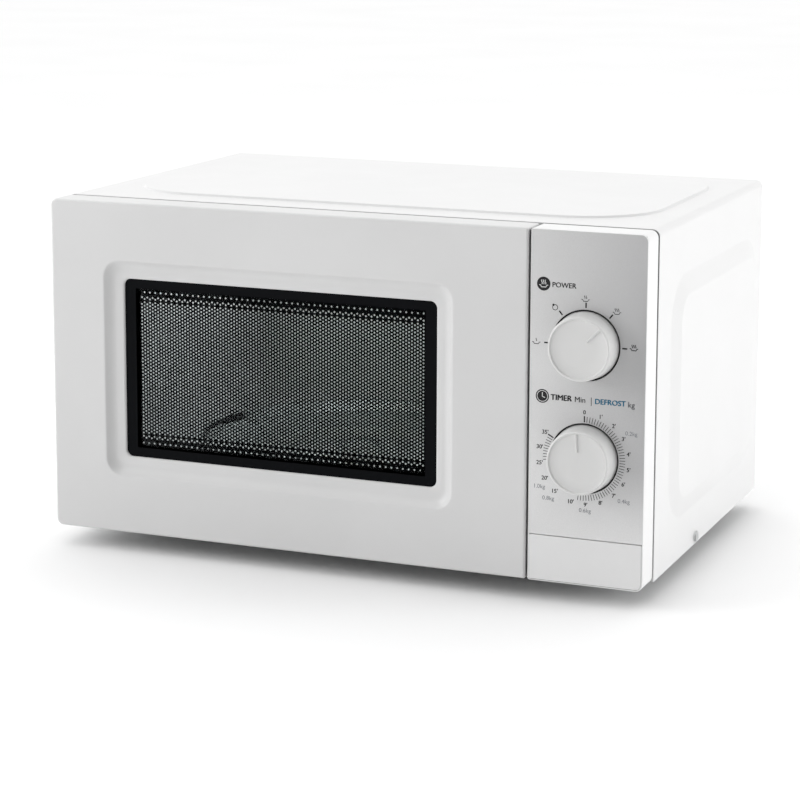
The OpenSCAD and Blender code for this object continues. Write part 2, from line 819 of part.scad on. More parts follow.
// Plastic outer frame: hollow from behind, with the sunk ring and the window opening
module door_frame() {
  pad_r = 16;
  ring_r = 13;
  wall_run = 3;
  boss_h = 15;
  half_w = window_w / 2;
  half_h = window_h / 2;
  boss_x1 = hinge_x + arm_w / 2 + 0.4;
  color("gainsboro") difference() {
    union() {
      difference() {
        along_y(y_f, y_m) side_round(x_l, door_x1, z_b, z_t, corner_r, false);
        along_y(y_f + door_t, y_m + 1)
          side_round(x_l + door_t, door_x1 - door_t, z_b + door_t, z_t - door_t, corner_r - door_t, false);
      }
      along_y(y_f + 1, y_glass) round_rect(win_x - half_w - ring_w - 3, win_x + half_w + ring_w + 3,
        win_z - half_h - ring_w - 3, win_z + half_h + ring_w + 3, pad_r);
      block(x_l + 1, boss_x1, hinge_y - 5.6, y_m - 2, arm_z_top - 1.6 - boss_h, arm_z_top - 1.6);
      block(x_l + 1, boss_x1, hinge_y - 5.6, y_m - 2, arm_z_low + 1.6, arm_z_low + 1.6 + boss_h);
      for (z = [z_b + 100, z_b + 140]) {
        block(door_x1 - 4.4, door_x1 - 1, y_f + 1, y_m - 3, z, z + 6);
      }
    }
    translate([win_x, y_f, win_z]) rotate([-90, 0, 0])
      field(window_w + 2 * ring_w, window_h + 2 * ring_w, ring_r, wall_run, ring_depth);
    along_y(y_f - 1, y_glass + 1)
      round_rect(win_x - half_w, win_x + half_w, win_z - half_h, win_z + half_h, 6);
    hinge_cut(arm_z_top);
    hinge_cut(arm_z_low);
    bar_z(hinge_x, hinge_y, pin_r + run_gap, arm_z_top - pin_len - 3, arm_z_top);
    bar_z(hinge_x, hinge_y, pin_r + run_gap, arm_z_low, arm_z_low + pin_len + 3);
  }
}

// Outer window glass, seated behind the ring
module window_glass() {
  color("black") along_y(y_glass, y_screen)
    round_rect(win_x - window_w / 2 - glass_lap, win_x + window_w / 2 + glass_lap,
      win_z - window_h / 2 - glass_lap, win_z + window_h / 2 + glass_lap, 6);
}

// Perforated steel screen directly behind the glass
screen_hole_r = 1.2;
module door_screen() {
  pitch = 7.2;
  cols = 30;
  rows = 15;
  color("darkgray") along_y(y_screen, y_tray) difference() {
    translate([win_x - window_w / 2 - glass_lap, win_z - window_h / 2 - glass_lap])
      square([window_w + 2 * glass_lap, window_h + 2 * glass_lap]);
    translate([win_x, win_z]) grid(cols, rows, pitch, pitch) circle(screen_hole_r);
  }
}

// Rectangular ring in x and z from an outer rectangle r and a wall t, between y0 and y1
module rect_ring(r, t, y0, y1) {
  difference() {
    block(r[0], r[1], y0, y1, r[2], r[3]);
    block(r[0] + t, r[1] - t, y0 - 1, y1 + 1, r[2] + t, r[3] - t);
  }
}

// Steel inner panel: platform facing the cavity, choke groove with slotted outer wall
view_rect = [win_x - window_w / 2 - sheet, win_x + window_w / 2 + sheet,
  win_z - window_h / 2 - sheet, win_z + window_h / 2 + sheet];
module door_panel() {
  slot_w = 3;
  slot_pitch = 16;
  land = y_seal - 1.2;
  color("lightgray") difference() {
    union() {
      rect_ring(choke_out, sheet, y_tray, y_seal);
      rect_ring(choke_out, choke_in[0] - choke_out[0] + sheet, y_tray, y_tray + sheet);
      rect_ring(choke_in, sheet, y_tray, land);
      rect_ring(view_rect, sheet, y_tray, land);
      difference() {
        block(choke_in[0], choke_in[1], land - sheet, land, choke_in[2], choke_in[3]);
        block(view_rect[0] + sheet, view_rect[1] - sheet, y_f, y_m,
          view_rect[2] + sheet, view_rect[3] - sheet);
      }
    }
    for (x = [choke_out[0] + 12 : slot_pitch : choke_out[1] - 12]) {
      block(x, x + slot_w, y_tray + 2, y_m, choke_out[2] - 1, choke_out[2] + 2 * sheet);
      block(x, x + slot_w, y_tray + 2, y_m, choke_out[3] - 2 * sheet, choke_out[3] + 1);
    }
    for (z = [choke_out[2] + 12 : slot_pitch : choke_out[3] - 12]) {
      block(choke_out[0] - 1, choke_out[0] + 2 * sheet, y_tray + 2, y_m, z, z + slot_w);
      block(choke_out[1] - 2 * sheet, choke_out[1] + 1, y_tray + 2, y_m, z, z + slot_w);
    }
  }
}

// Plastic cover over the choke groove, with two slots for the latch hooks
cover_gap = 0.6;
module choke_cover() {
  x0 = hinge_x + arm_w / 2 + 0.9;
  x1 = door_x1 - door_t - 0.4;
  z0 = z_b + door_t + 0.4;
  z1 = z_t - door_t - 0.4;
  lap = 3;
  color("gray") difference() {
    along_y(y_seal, y_c - cover_gap) round_rect(x0, x1, z0, z1, 5);
    along_y(y_seal - 1, y_c)
      round_rect(choke_in[0] + lap, choke_in[1] - lap, choke_in[2] + lap, choke_in[3] - lap, 5);
    for (z = [hook_low_z, hook_top_z]) {
      block(hook_x0 - 0.7, hook_x1 + 0.7, y_m - 2, y_c, z - barb_h - 1, z + hook_arm_h + 4);
    }
  }
}

// Clear film over the view opening on the cavity side
module inner_film() {
  y0 = y_seal - 1.2;
  lap = 6;
  color("lightblue") along_y(y0, y0 + 0.4)
    round_rect(view_rect[0] - lap, view_rect[1] + lap, view_rect[2] - lap, view_rect[3] + lap, 4);
}

// Sliding latch bar with two hooks that pass through the front plate
module hook(z) {
  block(hook_x0, hook_x1, y_f + 12, hook_tip_y, z, z + hook_arm_h);
  along_x(hook_x0, hook_x1) polygon([
    [hook_tip_y - 5, z + eps], [hook_tip_y - 5, z - barb_h], [hook_tip_y - 2, z - barb_h],
    [hook_tip_y, z - barb_h + 2.5], [hook_tip_y, z + eps]]);
}

module latch_hooks() {
  color("dimgray") {
    block(hook_x0, hook_x1, y_f + 5, y_f + 12.5, hook_low_z - 8, hook_top_z + 16);
    hook(hook_low_z);
    hook(hook_top_z);
  }
}

// Coil spring that holds the latch bar down
module latch_spring() {
  color("silver") translate([(hook_x0 + hook_x1) / 2, y_f + 9, hook_top_z + 16.3]) coil(2.4, 0.4, 2.6, 5);
}

// Hinge arm with its nose round the axis
module hinge_arm(z0) {
  along_z(z0, z0 + arm_t) {
    translate([hinge_x - arm_w / 2, hinge_y]) square([arm_w, y_p + 1.5 - hinge_y]);
    translate([hinge_x, hinge_y]) circle(arm_w / 2);
  }
}

// Upper hinge: arm through the front plate, pin pointing down into the door
module upper_hinge() {
  z0 = arm_z_top - arm_t / 2;
  color("silver") {
    hinge_arm(z0);
    bar_z(hinge_x, hinge_y, pin_r, z0 - pin_len, z0 + eps);
    block(hinge_x - arm_w / 2, hinge_x + 11, y_p, y_p + 1.5, z0 - 28, z0 + 8);
  }
}

// Lower hinge: the same, with its pin pointing up
module lower_hinge() {
  z0 = arm_z_low - arm_t / 2;
  color("silver") {
    hinge_arm(z0);
    bar_z(hinge_x, hinge_y, pin_r, z0 + arm_t - eps, z0 + arm_t + pin_len);
    block(hinge_x - arm_w / 2, hinge_x + 11, y_p, y_p + 1.5, z0 - 8, z0 + 30);
  }
}

// ---- controls ----

// Panel housing: hollow from behind, two dial recesses, open at the release button
module control_panel() {
  cup_r = knob_r + dial_gap + 2;
  front_y = y_f + overlay_t;
  cup_y1 = front_y + dial_recess + panel_t;
  shelf_z = button_z1 + button_top_gap;
  color("white") difference() {
    union() {
      difference() {
        along_y(front_y, y_m) side_round(panel_x0, x_r, z_b, z_t, corner_r, true);
        along_y(front_y + 2.2, y_m + 1)
          side_round(panel_x0 + panel_t, x_r - panel_t, z_b + panel_t, z_t - panel_t,
            corner_r - panel_t, true);
      }
      along_y(y_f, front_y + eps) difference() {
        side_round(panel_x0, x_r, z_b, z_t, corner_r, true);
        side_round(panel_x0 - 1, x_r - panel_t, z_b + panel_t, z_t + 1, corner_r - panel_t, true);
        translate([panel_x0 - 1, button_z1]) square([front_w, body_h]);
      }
      for (z = [power_z, timer_z]) bar_y(knob_x, z, cup_r, front_y, cup_y1);
      for (x = [panel_x0 + 7, x_r - 13], z = [button_z1 + 10, z_t - 18]) {
        bar_y(x, z, 3.5, front_y + 1, y_c);
      }
      block(panel_x0 + 1, x_r - 1, front_y + 1, y_f + 12, shelf_z, shelf_z + panel_t);
      block(panel_x0 + 30, panel_x0 + 52, y_m - 4, y_m, z_b + 1, z_b + 34);
    }
    block(panel_x0 + panel_t, x_r - panel_t, y_f - 1, y_f + 6, z_b + corner_r, shelf_z);
    along_y(y_f - 1, y_f + 6)
      side_round(panel_x0 + panel_t, x_r - panel_t, z_b + panel_t, button_z1, corner_r - panel_t, true);
    for (z = [power_z, timer_z]) {
      bar_y(knob_x, z, knob_r + dial_gap, y_f - 1, front_y + dial_recess);
      bar_y(knob_x, z, 6, y_f, y_m);
    }
  }
}

// Printed face sheet round the two dials
module panel_overlay() {
  color("darkgray") along_y(y_f, y_f + overlay_t) difference() {
    round_rect(panel_x0, x_r, button_z1 + button_top_gap, z_t, corner_r);
    for (z = [power_z, timer_z]) translate([knob_x, z]) circle(knob_r + dial_gap);
  }
  color("darkgray") along_y(y_f, y_f + overlay_t) {
    translate([panel_x0, button_z1 + button_top_gap]) square([x_r - panel_x0, corner_r + 1]);
    translate([panel_x0, z_t - corner_r - 1]) square([corner_r + 1, corner_r + 1]);
  }
}

// Outline of a knob from its axis outwards: radius, height
module knob_outline(r, h) {
  rim = 2.4;
  taper = 2.4;
  base_h = 1.6;
  sink = 1.4;
  square([r - taper - rim, h - sink]);
  polygon([[0, 0], [r, 0], [r, base_h], [r - taper, h - rim], [0, h - rim]]);
  translate([r - taper - rim, h - rim]) circle(rim);
}

// Knob with a sunk face, a raised pointer ridge and a socket for a flatted shaft
module knob(x, z, turn) {
  base_y = y_f + overlay_t + dial_recess - 0.6;
  h = knob_out + overlay_t + dial_recess - 0.6;
  color("whitesmoke") translate([x, base_y, z]) rotate([90, 0, 0]) rotate([0, 0, -turn]) difference() {
    union() {
      rotate_extrude() intersection() {
        knob_outline(knob_r, h);
        square([knob_r + 1, h + 1]);
      }
      translate([-1, knob_r * 0.36, h - 2]) cube([2, knob_r * 0.52, 2]);
    }
    difference() {
      translate([0, 0, -1]) cylinder(r = knob_r - 4, h = h - 3.5);
      translate([0, 0, -2]) cylinder(r = shaft_r + 3, h = h);
    }
    difference() {
      translate([0, 0, -1]) cylinder(r = shaft_r + 0.03, h = h - 3);
      translate([-shaft_r - 1, shaft_r - 1, -2]) cube([2 * shaft_r + 2, 4, h]);
    }
  }
}

power_turn = 45;
module power_knob() {
  knob(knob_x, power_z, power_turn);
}

module timer_knob() {
  knob(knob_x, timer_z, 0);
}

// Flatted shaft from inside a control box out into its knob
box_y0 = y_f + 19;
module control_shaft(z, turn) {
  y0 = y_f - knob_out + 4.8;
  y1 = box_y0 + 22;
  color("silver") translate([knob_x, y1, z]) rotate([90, 0, 0]) rotate([0, 0, -turn]) difference() {
    cylinder(r = shaft_r, h = y1 - y0);
    translate([-shaft_r - 1, shaft_r - 1.04, y1 - y_f - 4]) cube([2 * shaft_r + 2, 4, knob_out + 10]);
  }
}

module power_shaft() {
  control_shaft(power_z, power_turn);
}

module timer_shaft() {
  control_shaft(timer_z, 0);
}

// Steel bracket that carries both control boxes behind the panel
module timer_plate() {
  color("silver") difference() {
    union() {
      block(knob_x - 24, knob_x + 24, box_y0 - 1, box_y0, timer_z - 32, power_z + 30);
      for (z = [timer_z - 32, power_z + 29]) block(knob_x - 24, knob_x + 24, box_y0 - 1, y_c, z, z + 1);
      block(knob_x - 38, knob_x + 38, y_c - 1, y_c, timer_z - 32, timer_z - 24);
      block(knob_x - 38, knob_x + 38, y_c - 1, y_c, power_z + 22, power_z + 30);
    }
    for (z = [power_z, timer_z]) bar_y(knob_x, z, shaft_r + 2, box_y0 - 2, box_y0 + 1);
    block(knob_x - 20, knob_x + 20, y_c - 2, y_c + 1, timer_z - 31, timer_z - 23);
    block(knob_x - 20, knob_x + 20, y_c - 2, y_c + 1, power_z + 21, power_z + 29);
  }
}

// Box with a running bore for its shaft
module control_box(z, half_x, half_z, depth) {
  difference() {
    block(knob_x - half_x, knob_x + half_x, box_y0, box_y0 + depth, z - half_z, z + half_z);
    bar_y(knob_x, z, shaft_r + run_gap, box_y0 - 1, box_y0 + 23);
  }
}

// Clockwork of the timer, with its motor and bell
module timer_gearbox() {
  color("ivory") {
    control_box(timer_z, 22, 24, 28);
    bar_y(knob_x + 2, timer_z + 2, 19, box_y0 + 28, box_y0 + 40);
  }
}

// Cam switch that sets the power level
module power_selector() {
  color("ivory") control_box(power_z, 20, 20, 26);
}

// Release button: front plate, side skirts and a push bar that reaches the lever
button_side = 0.4;
button_back = y_f + 2.4;
module release_button() {
  x0 = panel_x0 + panel_t + button_side;
  x1 = x_r - panel_t - button_side;
  z0 = z_b + panel_t + button_side;
  bar_y1 = pivot_y - 2.3;
  color("gainsboro") {
    along_y(y_f, button_back) side_round(x0, x1, z0, button_z1, corner_r - panel_t - button_side, true);
    difference() {
      block(x0 + 3, x1 - 8, y_f + 1, y_f + 14, z0 + 3, button_z1 - 5);
      block(x0 + 5, x1 - 10, button_back, y_f + 15, z0 + 5, button_z1 - 7);
    }
    block(panel_x0 + 6, panel_x0 + 10, y_f + 1, bar_y1, push_z - 3, push_z + 3);
    block(lever_x0 + 0.4, panel_x0 + 10, bar_y1 - 2.1, bar_y1, push_z - 1, push_z + 1);
  }
}

// Coil spring behind the release button
module button_spring() {
  turns = 5;
  y0 = button_back + 0.3;
  length = y_m - 4.6 - y0;
  color("silver") translate([panel_x0 + 41, y0 + 0.5, z_b + 16]) rotate([-90, 0, 0])
    coil(5, 0.5, (length - 1) / turns, turns);
}

// Bell crank: its lower arm is pushed back and its rear arm lifts the lower hook
module release_lever() {
  color("orange") difference() {
    along_x(lever_x0, lever_x1) {
      translate([pivot_y, pivot_z]) circle(4);
      translate([pivot_y - 2, push_z - 4]) square([4, pivot_z - push_z + 4]);
      translate([pivot_y, pivot_z - 2]) square([hook_tip_y + 1.5 - pivot_y, 4]);
    }
    bar_x(pivot_y, pivot_z, 2 + run_gap, lever_x0 - 1, lever_x1 + 1);
  }
}

// Plastic carrier behind the front plate: two catch ledges, the lever's pivot pin, switch seats
lock_x0 = hook_x0 - 3.5;
lock_x1 = hook_x1 + 5.5;
module interlock_body() {
  t = 2;
  z0 = z_b + 34;
  z1 = z_b + 204;
  y1 = y_p + 32;
  color("ivory") difference() {
    union() {
      block(lock_x0, lock_x0 + t, y_p, y1, z0, z1);
      block(lock_x1 - t, lock_x1, y_p, y1, z0, z1);
      for (z = [z0 + 34, z0 + 80, z0 + 118]) block(lock_x0, lock_x1, y_p, y1, z, z + t);
      for (z = [hook_low_z, hook_top_z]) {
        block(lock_x0, hook_x0 + 2.6, y_p + 7.6, y_p + 12.6, z - barb_h - 10, z - barb_h - ledge_gap);
      }
      block(lock_x0, lock_x1, y_p + 22.2, y_p + 24.2, z0 + 36, z1);
      bar_x(pivot_y, pivot_z, 2, lock_x0 + 1, lock_x1 - 1);
    }
  }
}

// Two snap switches seated in the carrier
module interlock_switches() {
  color("black") for (z = [z_b + 70, z_b + 116]) {
    block(lock_x0 + 2, lock_x1 - 2, y_p + 5, y_p + 20, z, z + 10);
    block(lock_x0 + 5, lock_x0 + 8, y_p + 3, y_p + 5, z + 4, z + 7);
  }
}

// ---- fixings ----

// Four feet, each with its stud through the base
foot_r = 13;
module feet() {
  color("black") for (x = [-foot_x, foot_x], y = foot_y) {
    translate([x, y, 0]) cylinder(r1 = foot_r - 3, r2 = foot_r, h = foot_h);
    bar_z(x, y, foot_stud_r, foot_h - eps, foot_h + 4);
  }
}

// One case screw standing on z = 0, head outwards
module case_screw() {
  cylinder(r = 3.8, h = 1.8);
  translate([0, 0, -7]) cylinder(r = screw_hole_r - 0.1, h = 7 + eps);
}

// Screws through the case: one low on each side, four at the rear
module case_screws() {
  color("silver") {
    for (s = [-1, 1]) translate([s * x_r, screw_y, screw_z]) rotate([0, s * 90, 0]) case_screw();
    for (p = back_screws) {
      translate([p[0], y_b, p[1]]) rotate([-90, 0, 0]) case_screw();
    }
  }
}

// Empty cord gland in the rear sheet
module cord_gland() {
  bore_r = 3.6;
  color("black") difference() {
    union() {
      bar_y(gland_x, gland_z, gland_hole_r - 0.1, back_y0 - 6, y_b + 1);
      bar_y(gland_x, gland_z, gland_hole_r + 3, y_b - case_t, y_b + gland_out);
      bar_y(gland_x, gland_z, gland_hole_r + 2, back_y0 - 6, back_y0);
    }
    bar_y(gland_x, gland_z, bore_r, back_y0 - 7, y_b + gland_out + 1);
  }
}

outer_case();
base_plate();
back_plate();
front_frame();
cavity_shell();
waveguide();
waveguide_cover();
magnetron_yoke();
magnetron_anode();
magnetron_fins();
magnetron_filter();
transformer_core();
transformer_coils();
hv_capacitor();
capacitor_clamp();
hv_diode();
noise_filter();
fuse();
thermal_cutouts();
cavity_lamp();
lamp_holder();
air_duct();
fan_shroud();
fan_motor();
fan_rotor();
turntable_motor();
drive_shaft();
turntable_coupler();
glass_tray();
roller_ring();
roller_1();
roller_2();
roller_3();
door_frame();
window_glass();
door_screen();
door_panel();
choke_cover();
inner_film();
latch_hooks();
latch_spring();
upper_hinge();
lower_hinge();
control_panel();
panel_overlay();
power_knob();
timer_knob();
release_button();
button_spring();
release_lever();
interlock_body();
interlock_switches();
timer_plate();
timer_gearbox();
power_selector();
timer_shaft();
power_shaft();
feet();
case_screws();
cord_gland();
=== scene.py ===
import json
from math import atan2, cos, hypot, radians, sin, sqrt, tau

import bpy
import bmesh
from mathutils import Matrix, Vector


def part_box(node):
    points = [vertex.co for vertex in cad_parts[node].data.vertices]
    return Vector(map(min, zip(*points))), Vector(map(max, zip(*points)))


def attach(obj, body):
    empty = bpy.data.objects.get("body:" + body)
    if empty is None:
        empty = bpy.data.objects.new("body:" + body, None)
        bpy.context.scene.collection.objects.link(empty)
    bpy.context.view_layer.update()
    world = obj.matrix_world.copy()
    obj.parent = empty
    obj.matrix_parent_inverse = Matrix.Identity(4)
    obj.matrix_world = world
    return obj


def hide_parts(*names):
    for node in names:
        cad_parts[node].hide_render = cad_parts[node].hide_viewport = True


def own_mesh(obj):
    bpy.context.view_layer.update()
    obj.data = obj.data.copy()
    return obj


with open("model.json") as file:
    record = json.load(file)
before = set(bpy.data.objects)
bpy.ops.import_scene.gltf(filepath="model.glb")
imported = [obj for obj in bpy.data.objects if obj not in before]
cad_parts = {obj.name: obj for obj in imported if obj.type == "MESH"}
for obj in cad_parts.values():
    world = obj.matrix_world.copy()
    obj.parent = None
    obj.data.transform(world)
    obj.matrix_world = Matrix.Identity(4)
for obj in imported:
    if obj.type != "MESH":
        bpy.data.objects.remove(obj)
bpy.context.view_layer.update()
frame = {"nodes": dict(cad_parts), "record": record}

# The looks of a countertop microwave oven, round its CAD frame. Positions are in millimetres until mm().

NODES = frame["nodes"]


def box(node):
    """Lowest and highest corner of a CAD node, in millimetres."""
    low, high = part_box(node)
    return [c * 1000 for c in low], [c * 1000 for c in high]


# ---- sizes read from the CAD ----
# First letter: D door, P control panel, G glass, W window, K knobs; X0 and X1 are its low and high x.
# YF is the front face, YM the rear of the door, YC and YB the case's front and rear edges, YG and YS the
# glass's front and rear faces, PZ and TZ the heights of the power dial and the timer dial.

(DX0, YF, Z0), (DX1, YM, Z1) = box("door_frame")
(PX0, _, _), (PX1, _, _) = box("control_panel")
(_, YC, _), (_, YB, _) = box("outer_case")
(GX0, YG, GZ0), (GX1, YS, GZ1) = box("window_glass")
BUTTON = box("release_button")
KNOB_POWER = box("power_knob")
KNOB_TIMER = box("timer_knob")
KX = (KNOB_POWER[0][0] + KNOB_POWER[1][0]) / 2
PZ = (KNOB_POWER[0][2] + KNOB_POWER[1][2]) / 2
TZ = (KNOB_TIMER[0][2] + KNOB_TIMER[1][2]) / 2
GLASS_LAP = 5.0
WX = (GX0 + GX1) / 2
WZ = (GZ0 + GZ1) / 2
WIN_W = GX1 - GX0 - 2 * GLASS_LAP
WIN_H = GZ1 - GZ0 - 2 * GLASS_LAP
XL = DX0
XR = PX1
CORNER = 5.0
SHEET = 0.8
# Corner radius where door and panel meet, and what each gives up to widen the split
SPLIT_R = 1.6
SPLIT_EASE = 0.2
# Rear rims of the two front mouldings
SEAM_FRONT = YM - 1.4
# Width of the sunk ring round the window
RING = 14.0

# ---- small helpers ----


def mm(p):
    """A point in metres from one in millimetres."""
    return Vector((p[0] * 0.001, p[1] * 0.001, p[2] * 0.001))


def add_object(name, data):
    obj = bpy.data.objects.new(name, data)
    bpy.context.scene.collection.objects.link(obj)
    return obj


def link_mesh(name, verts, faces, sharp_deg=35.0):
    """A mesh object from millimetre points, smooth except at edges sharper than sharp_deg."""
    mesh = bpy.data.meshes.new(name)
    mesh.from_pydata([mm(v) for v in verts], [], faces)
    mesh.validate()
    bm = bmesh.new()
    bm.from_mesh(mesh)
    bmesh.ops.recalc_face_normals(bm, faces=bm.faces)
    bm.to_mesh(mesh)
    bm.free()
    return smooth(add_object(name, mesh), sharp_deg)


def smooth(obj, sharp_deg=35.0):
    for poly in obj.data.polygons:
        poly.use_smooth = True
    obj.data.set_sharp_from_angle(angle=radians(sharp_deg))
    return obj


def loft(name, loops, closed=False, cap_start=False, cap_end=False, sharp_deg=35.0, ring=True):
    """Faces between loops, or open lines if ring is False, that all have the same number of points."""
    n = len(loops[0])
    verts = [p for loop in loops for p in loop]
    faces = []
    rows = len(loops) if closed else len(loops) - 1
    for i in range(rows):
        a, b = i * n, ((i + 1) % len(loops)) * n
        for k in range(n if ring else n - 1):
            faces.append((a + k, a + (k + 1) % n, b + (k + 1) % n, b + k))
    if cap_start:
        faces.append(tuple(range(n)))
    if cap_end:
        faces.append(tuple(range((len(loops) - 1) * n, len(loops) * n)))
    return link_mesh(name, verts, faces, sharp_deg)


def round_loop(x0, x1, z0, z1, radii, arc=8, edge=6):
    """Points round a rectangle; radii are for top left, top right, bottom right, bottom left."""
    tl, tr, br, bl = radii
    corners = [(x0 + tl, z1 - tl, tl, 180), (x1 - tr, z1 - tr, tr, 90),
               (x1 - br, z0 + br, br, 0), (x0 + bl, z0 + bl, bl, -90)]
    points = []
    for i, (cx, cz, r, start) in enumerate(corners):
        for k in range(arc + 1):
            a = radians(start - 90 * k / arc)
            points.append((cx + r * cos(a), cz + r * sin(a)))
        nx, nz, nr, nstart = corners[(i + 1) % 4]
        a = radians(nstart)
        end = (nx + nr * cos(a), nz + nr * sin(a))
        here = points[-1]
        for k in range(1, edge):
            t = k / edge
            points.append((here[0] + (end[0] - here[0]) * t, here[1] + (end[1] - here[1]) * t))
    return points


def ring_xz(x0, x1, z0, z1, radii, y):
    """round_loop as points in space, all at the same y."""
    return [(x, y, z) for x, z in round_loop(x0, x1, z0, z1, radii)]


def inset_ring(rect, radii, inset, y, least=0.15):
    """ring_xz of a rectangle made smaller by inset."""
    x0, x1, z0, z1 = rect
    smaller = [max(r - inset, least) for r in radii]
    return ring_xz(x0 + inset, x1 - inset, z0 + inset, z1 - inset, smaller, y)


def turned_loops(profile, centre, steps):
    """Loops of points: (radius, forward) turned about the line through centre along -Y."""
    cx, cy, cz = centre
    turns = [tau * k / steps for k in range(steps)]
    return [[(cx + r * sin(a), cy - f, cz + r * cos(a)) for a in turns] for r, f in profile]


def lathe(name, profile, centre, steps=96, sharp_deg=35.0):
    return loft(name, turned_loops(profile, centre, steps), cap_start=True, cap_end=True, sharp_deg=sharp_deg)


def block(name, x0, x1, y0, y1, z0, z1, bevel=0.0):
    """Box between two corners, with bevelled edges if bevel isn't 0."""
    verts = [(x, y, z) for z in (z0, z1) for y in (y0, y1) for x in (x0, x1)]
    faces = [(0, 2, 3, 1), (4, 5, 7, 6), (0, 1, 5, 4), (2, 6, 7, 3), (0, 4, 6, 2), (1, 3, 7, 5)]
    obj = link_mesh(name, verts, faces, 30)
    if bevel:
        add_bevel(obj, bevel)
    return obj


def add_bevel(obj, width, segments=2, angle=40):
    mod = obj.modifiers.new("edge", "BEVEL")
    mod.width = width * 0.001
    mod.segments = segments
    mod.limit_method = "ANGLE"
    mod.angle_limit = radians(angle)
    mod.harden_normals = True
    return obj


def join(name, objects):
    """One object from several; modifiers are applied first."""
    bm = bmesh.new()
    graph = bpy.context.evaluated_depsgraph_get()
    graph.update()
    for obj in objects:
        mesh = bpy.data.meshes.new_from_object(obj.evaluated_get(graph))
        mesh.transform(obj.matrix_world)
        bm.from_mesh(mesh)
        bpy.data.meshes.remove(mesh)
    mesh = bpy.data.meshes.new(name)
    bm.to_mesh(mesh)
    bm.free()
    for obj in objects:
        bpy.data.objects.remove(obj)
    return add_object(name, mesh)


def cut(obj, cutters):
    """Takes the cutters out of obj for good."""
    for c in cutters:
        mod = obj.modifiers.new("cut", "BOOLEAN")
        mod.operation = "DIFFERENCE"
        mod.solver = "EXACT"
        mod.object = c
    graph = bpy.context.evaluated_depsgraph_get()
    graph.update()
    mesh = bpy.data.meshes.new_from_object(obj.evaluated_get(graph))
    obj.modifiers.clear()
    old = obj.data
    obj.data = mesh
    bpy.data.meshes.remove(old)
    for c in cutters:
        bpy.data.objects.remove(c)
    return smooth(obj)


def place(obj, body, material, slot, *replaced):
    """Gives a piece its material and body, and hides the CAD nodes that it stands for; slot is not used."""
    obj.data.materials.clear()
    obj.data.materials.append(material)
    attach(obj, body)
    if replaced:
        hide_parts(*replaced)
    return obj


# ---- materials ----


def feed(tree, socket, value):
    """Links an output to a socket, or sets the socket's own number or colour."""
    if isinstance(value, bpy.types.NodeSocket):
        tree.links.new(value, socket)
    elif isinstance(value, tuple):
        socket.default_value = (*value[:3], 1)
    else:
        socket.default_value = value


def set_range(node, *limits):
    """Limits are the lowest and highest input, then output."""
    for key, value in zip(("From Min", "From Max", "To Min", "To Max"), limits):
        node.inputs[key].default_value = value


class Nodes:
    """A short way to wire a material."""

    def __init__(self, name):
        self.material = bpy.data.materials.new(name)
        self.material.use_nodes = True
        self.tree = self.material.node_tree
        self.tree.nodes.clear()
        self.out = self.add("ShaderNodeOutputMaterial")
        self.coords = self.add("ShaderNodeTexCoord").outputs["Object"]

    def add(self, kind, **values):
        node = self.tree.nodes.new(kind)
        for key, value in values.items():
            if key in node.inputs:
                node.inputs[key].default_value = value
            else:
                setattr(node, key, value)
        return node

    def link(self, a, b):
        self.tree.links.new(a, b)

    def noise(self, scale, detail=3.0, rough=0.5, stretch=None):
        node = self.add("ShaderNodeTexNoise", Scale=scale, Detail=detail, Roughness=rough)
        source = self.coords
        if stretch:
            mapping = self.add("ShaderNodeMapping")
            mapping.inputs["Scale"].default_value = stretch
            self.link(source, mapping.inputs["Vector"])
            source = mapping.outputs["Vector"]
        self.link(source, node.inputs["Vector"])
        return node.outputs["Fac"]

    def cells(self, scale):
        node = self.add("ShaderNodeTexVoronoi", Scale=scale)
        self.link(self.coords, node.inputs["Vector"])
        return node

    def spread(self, source, low, high, in_low=0.3, in_high=0.7):
        """Maps a grey value to a range of numbers."""
        node = self.add("ShaderNodeMapRange")
        set_range(node, in_low, in_high, low, high)
        self.link(source, node.inputs["Value"])
        return node.outputs["Result"]

    def ramp(self, source, stops):
        node = self.add("ShaderNodeValToRGB")
        ramp = node.color_ramp
        while len(ramp.elements) < len(stops):
            ramp.elements.new(0.5)
        for element, (at, colour) in zip(ramp.elements, stops):
            element.position = at
            element.color = (*colour, 1)
        self.link(source, node.inputs["Fac"])
        return node.outputs["Color"]

    def drift(self, colour, scale, detail, low, high):
        """A colour that wanders between two tints of itself."""
        return self.ramp(self.noise(scale, detail), [(0.3, tint(colour, low)), (0.7, tint(colour, high))])

    def mix(self, factor, a, b, blend="MIX"):
        """Mixes two colours, which are inputs 6 and 7 of the node."""
        node = self.add("ShaderNodeMix", data_type="RGBA", blend_type=blend)
        for index, value in ((0, factor), (6, a), (7, b)):
            feed(self.tree, node.inputs[index], value)
        return node.outputs[2]

    def bump(self, height, strength, distance):
        node = self.add("ShaderNodeBump", Strength=strength, Distance=distance)
        self.link(height, node.inputs["Height"])
        return node.outputs["Normal"]

    def surface(self, shader):
        """The finished material, with this shader node as its surface."""
        self.link(shader.outputs[0], self.out.inputs["Surface"])
        return self.material

    def principled(self, colour, rough, normal=None, **values):
        node = self.add("ShaderNodeBsdfPrincipled")
        for key, value in values.items():
            node.inputs[key.replace("_", " ")].default_value = value
        feed(self.tree, node.inputs["Base Color"], colour)
        feed(self.tree, node.inputs["Roughness"], rough)
        if normal is not None:
            self.link(normal, node.inputs["Normal"])
        return node


def tint(colour, factor):
    return tuple(min(1.0, c * factor) for c in colour)


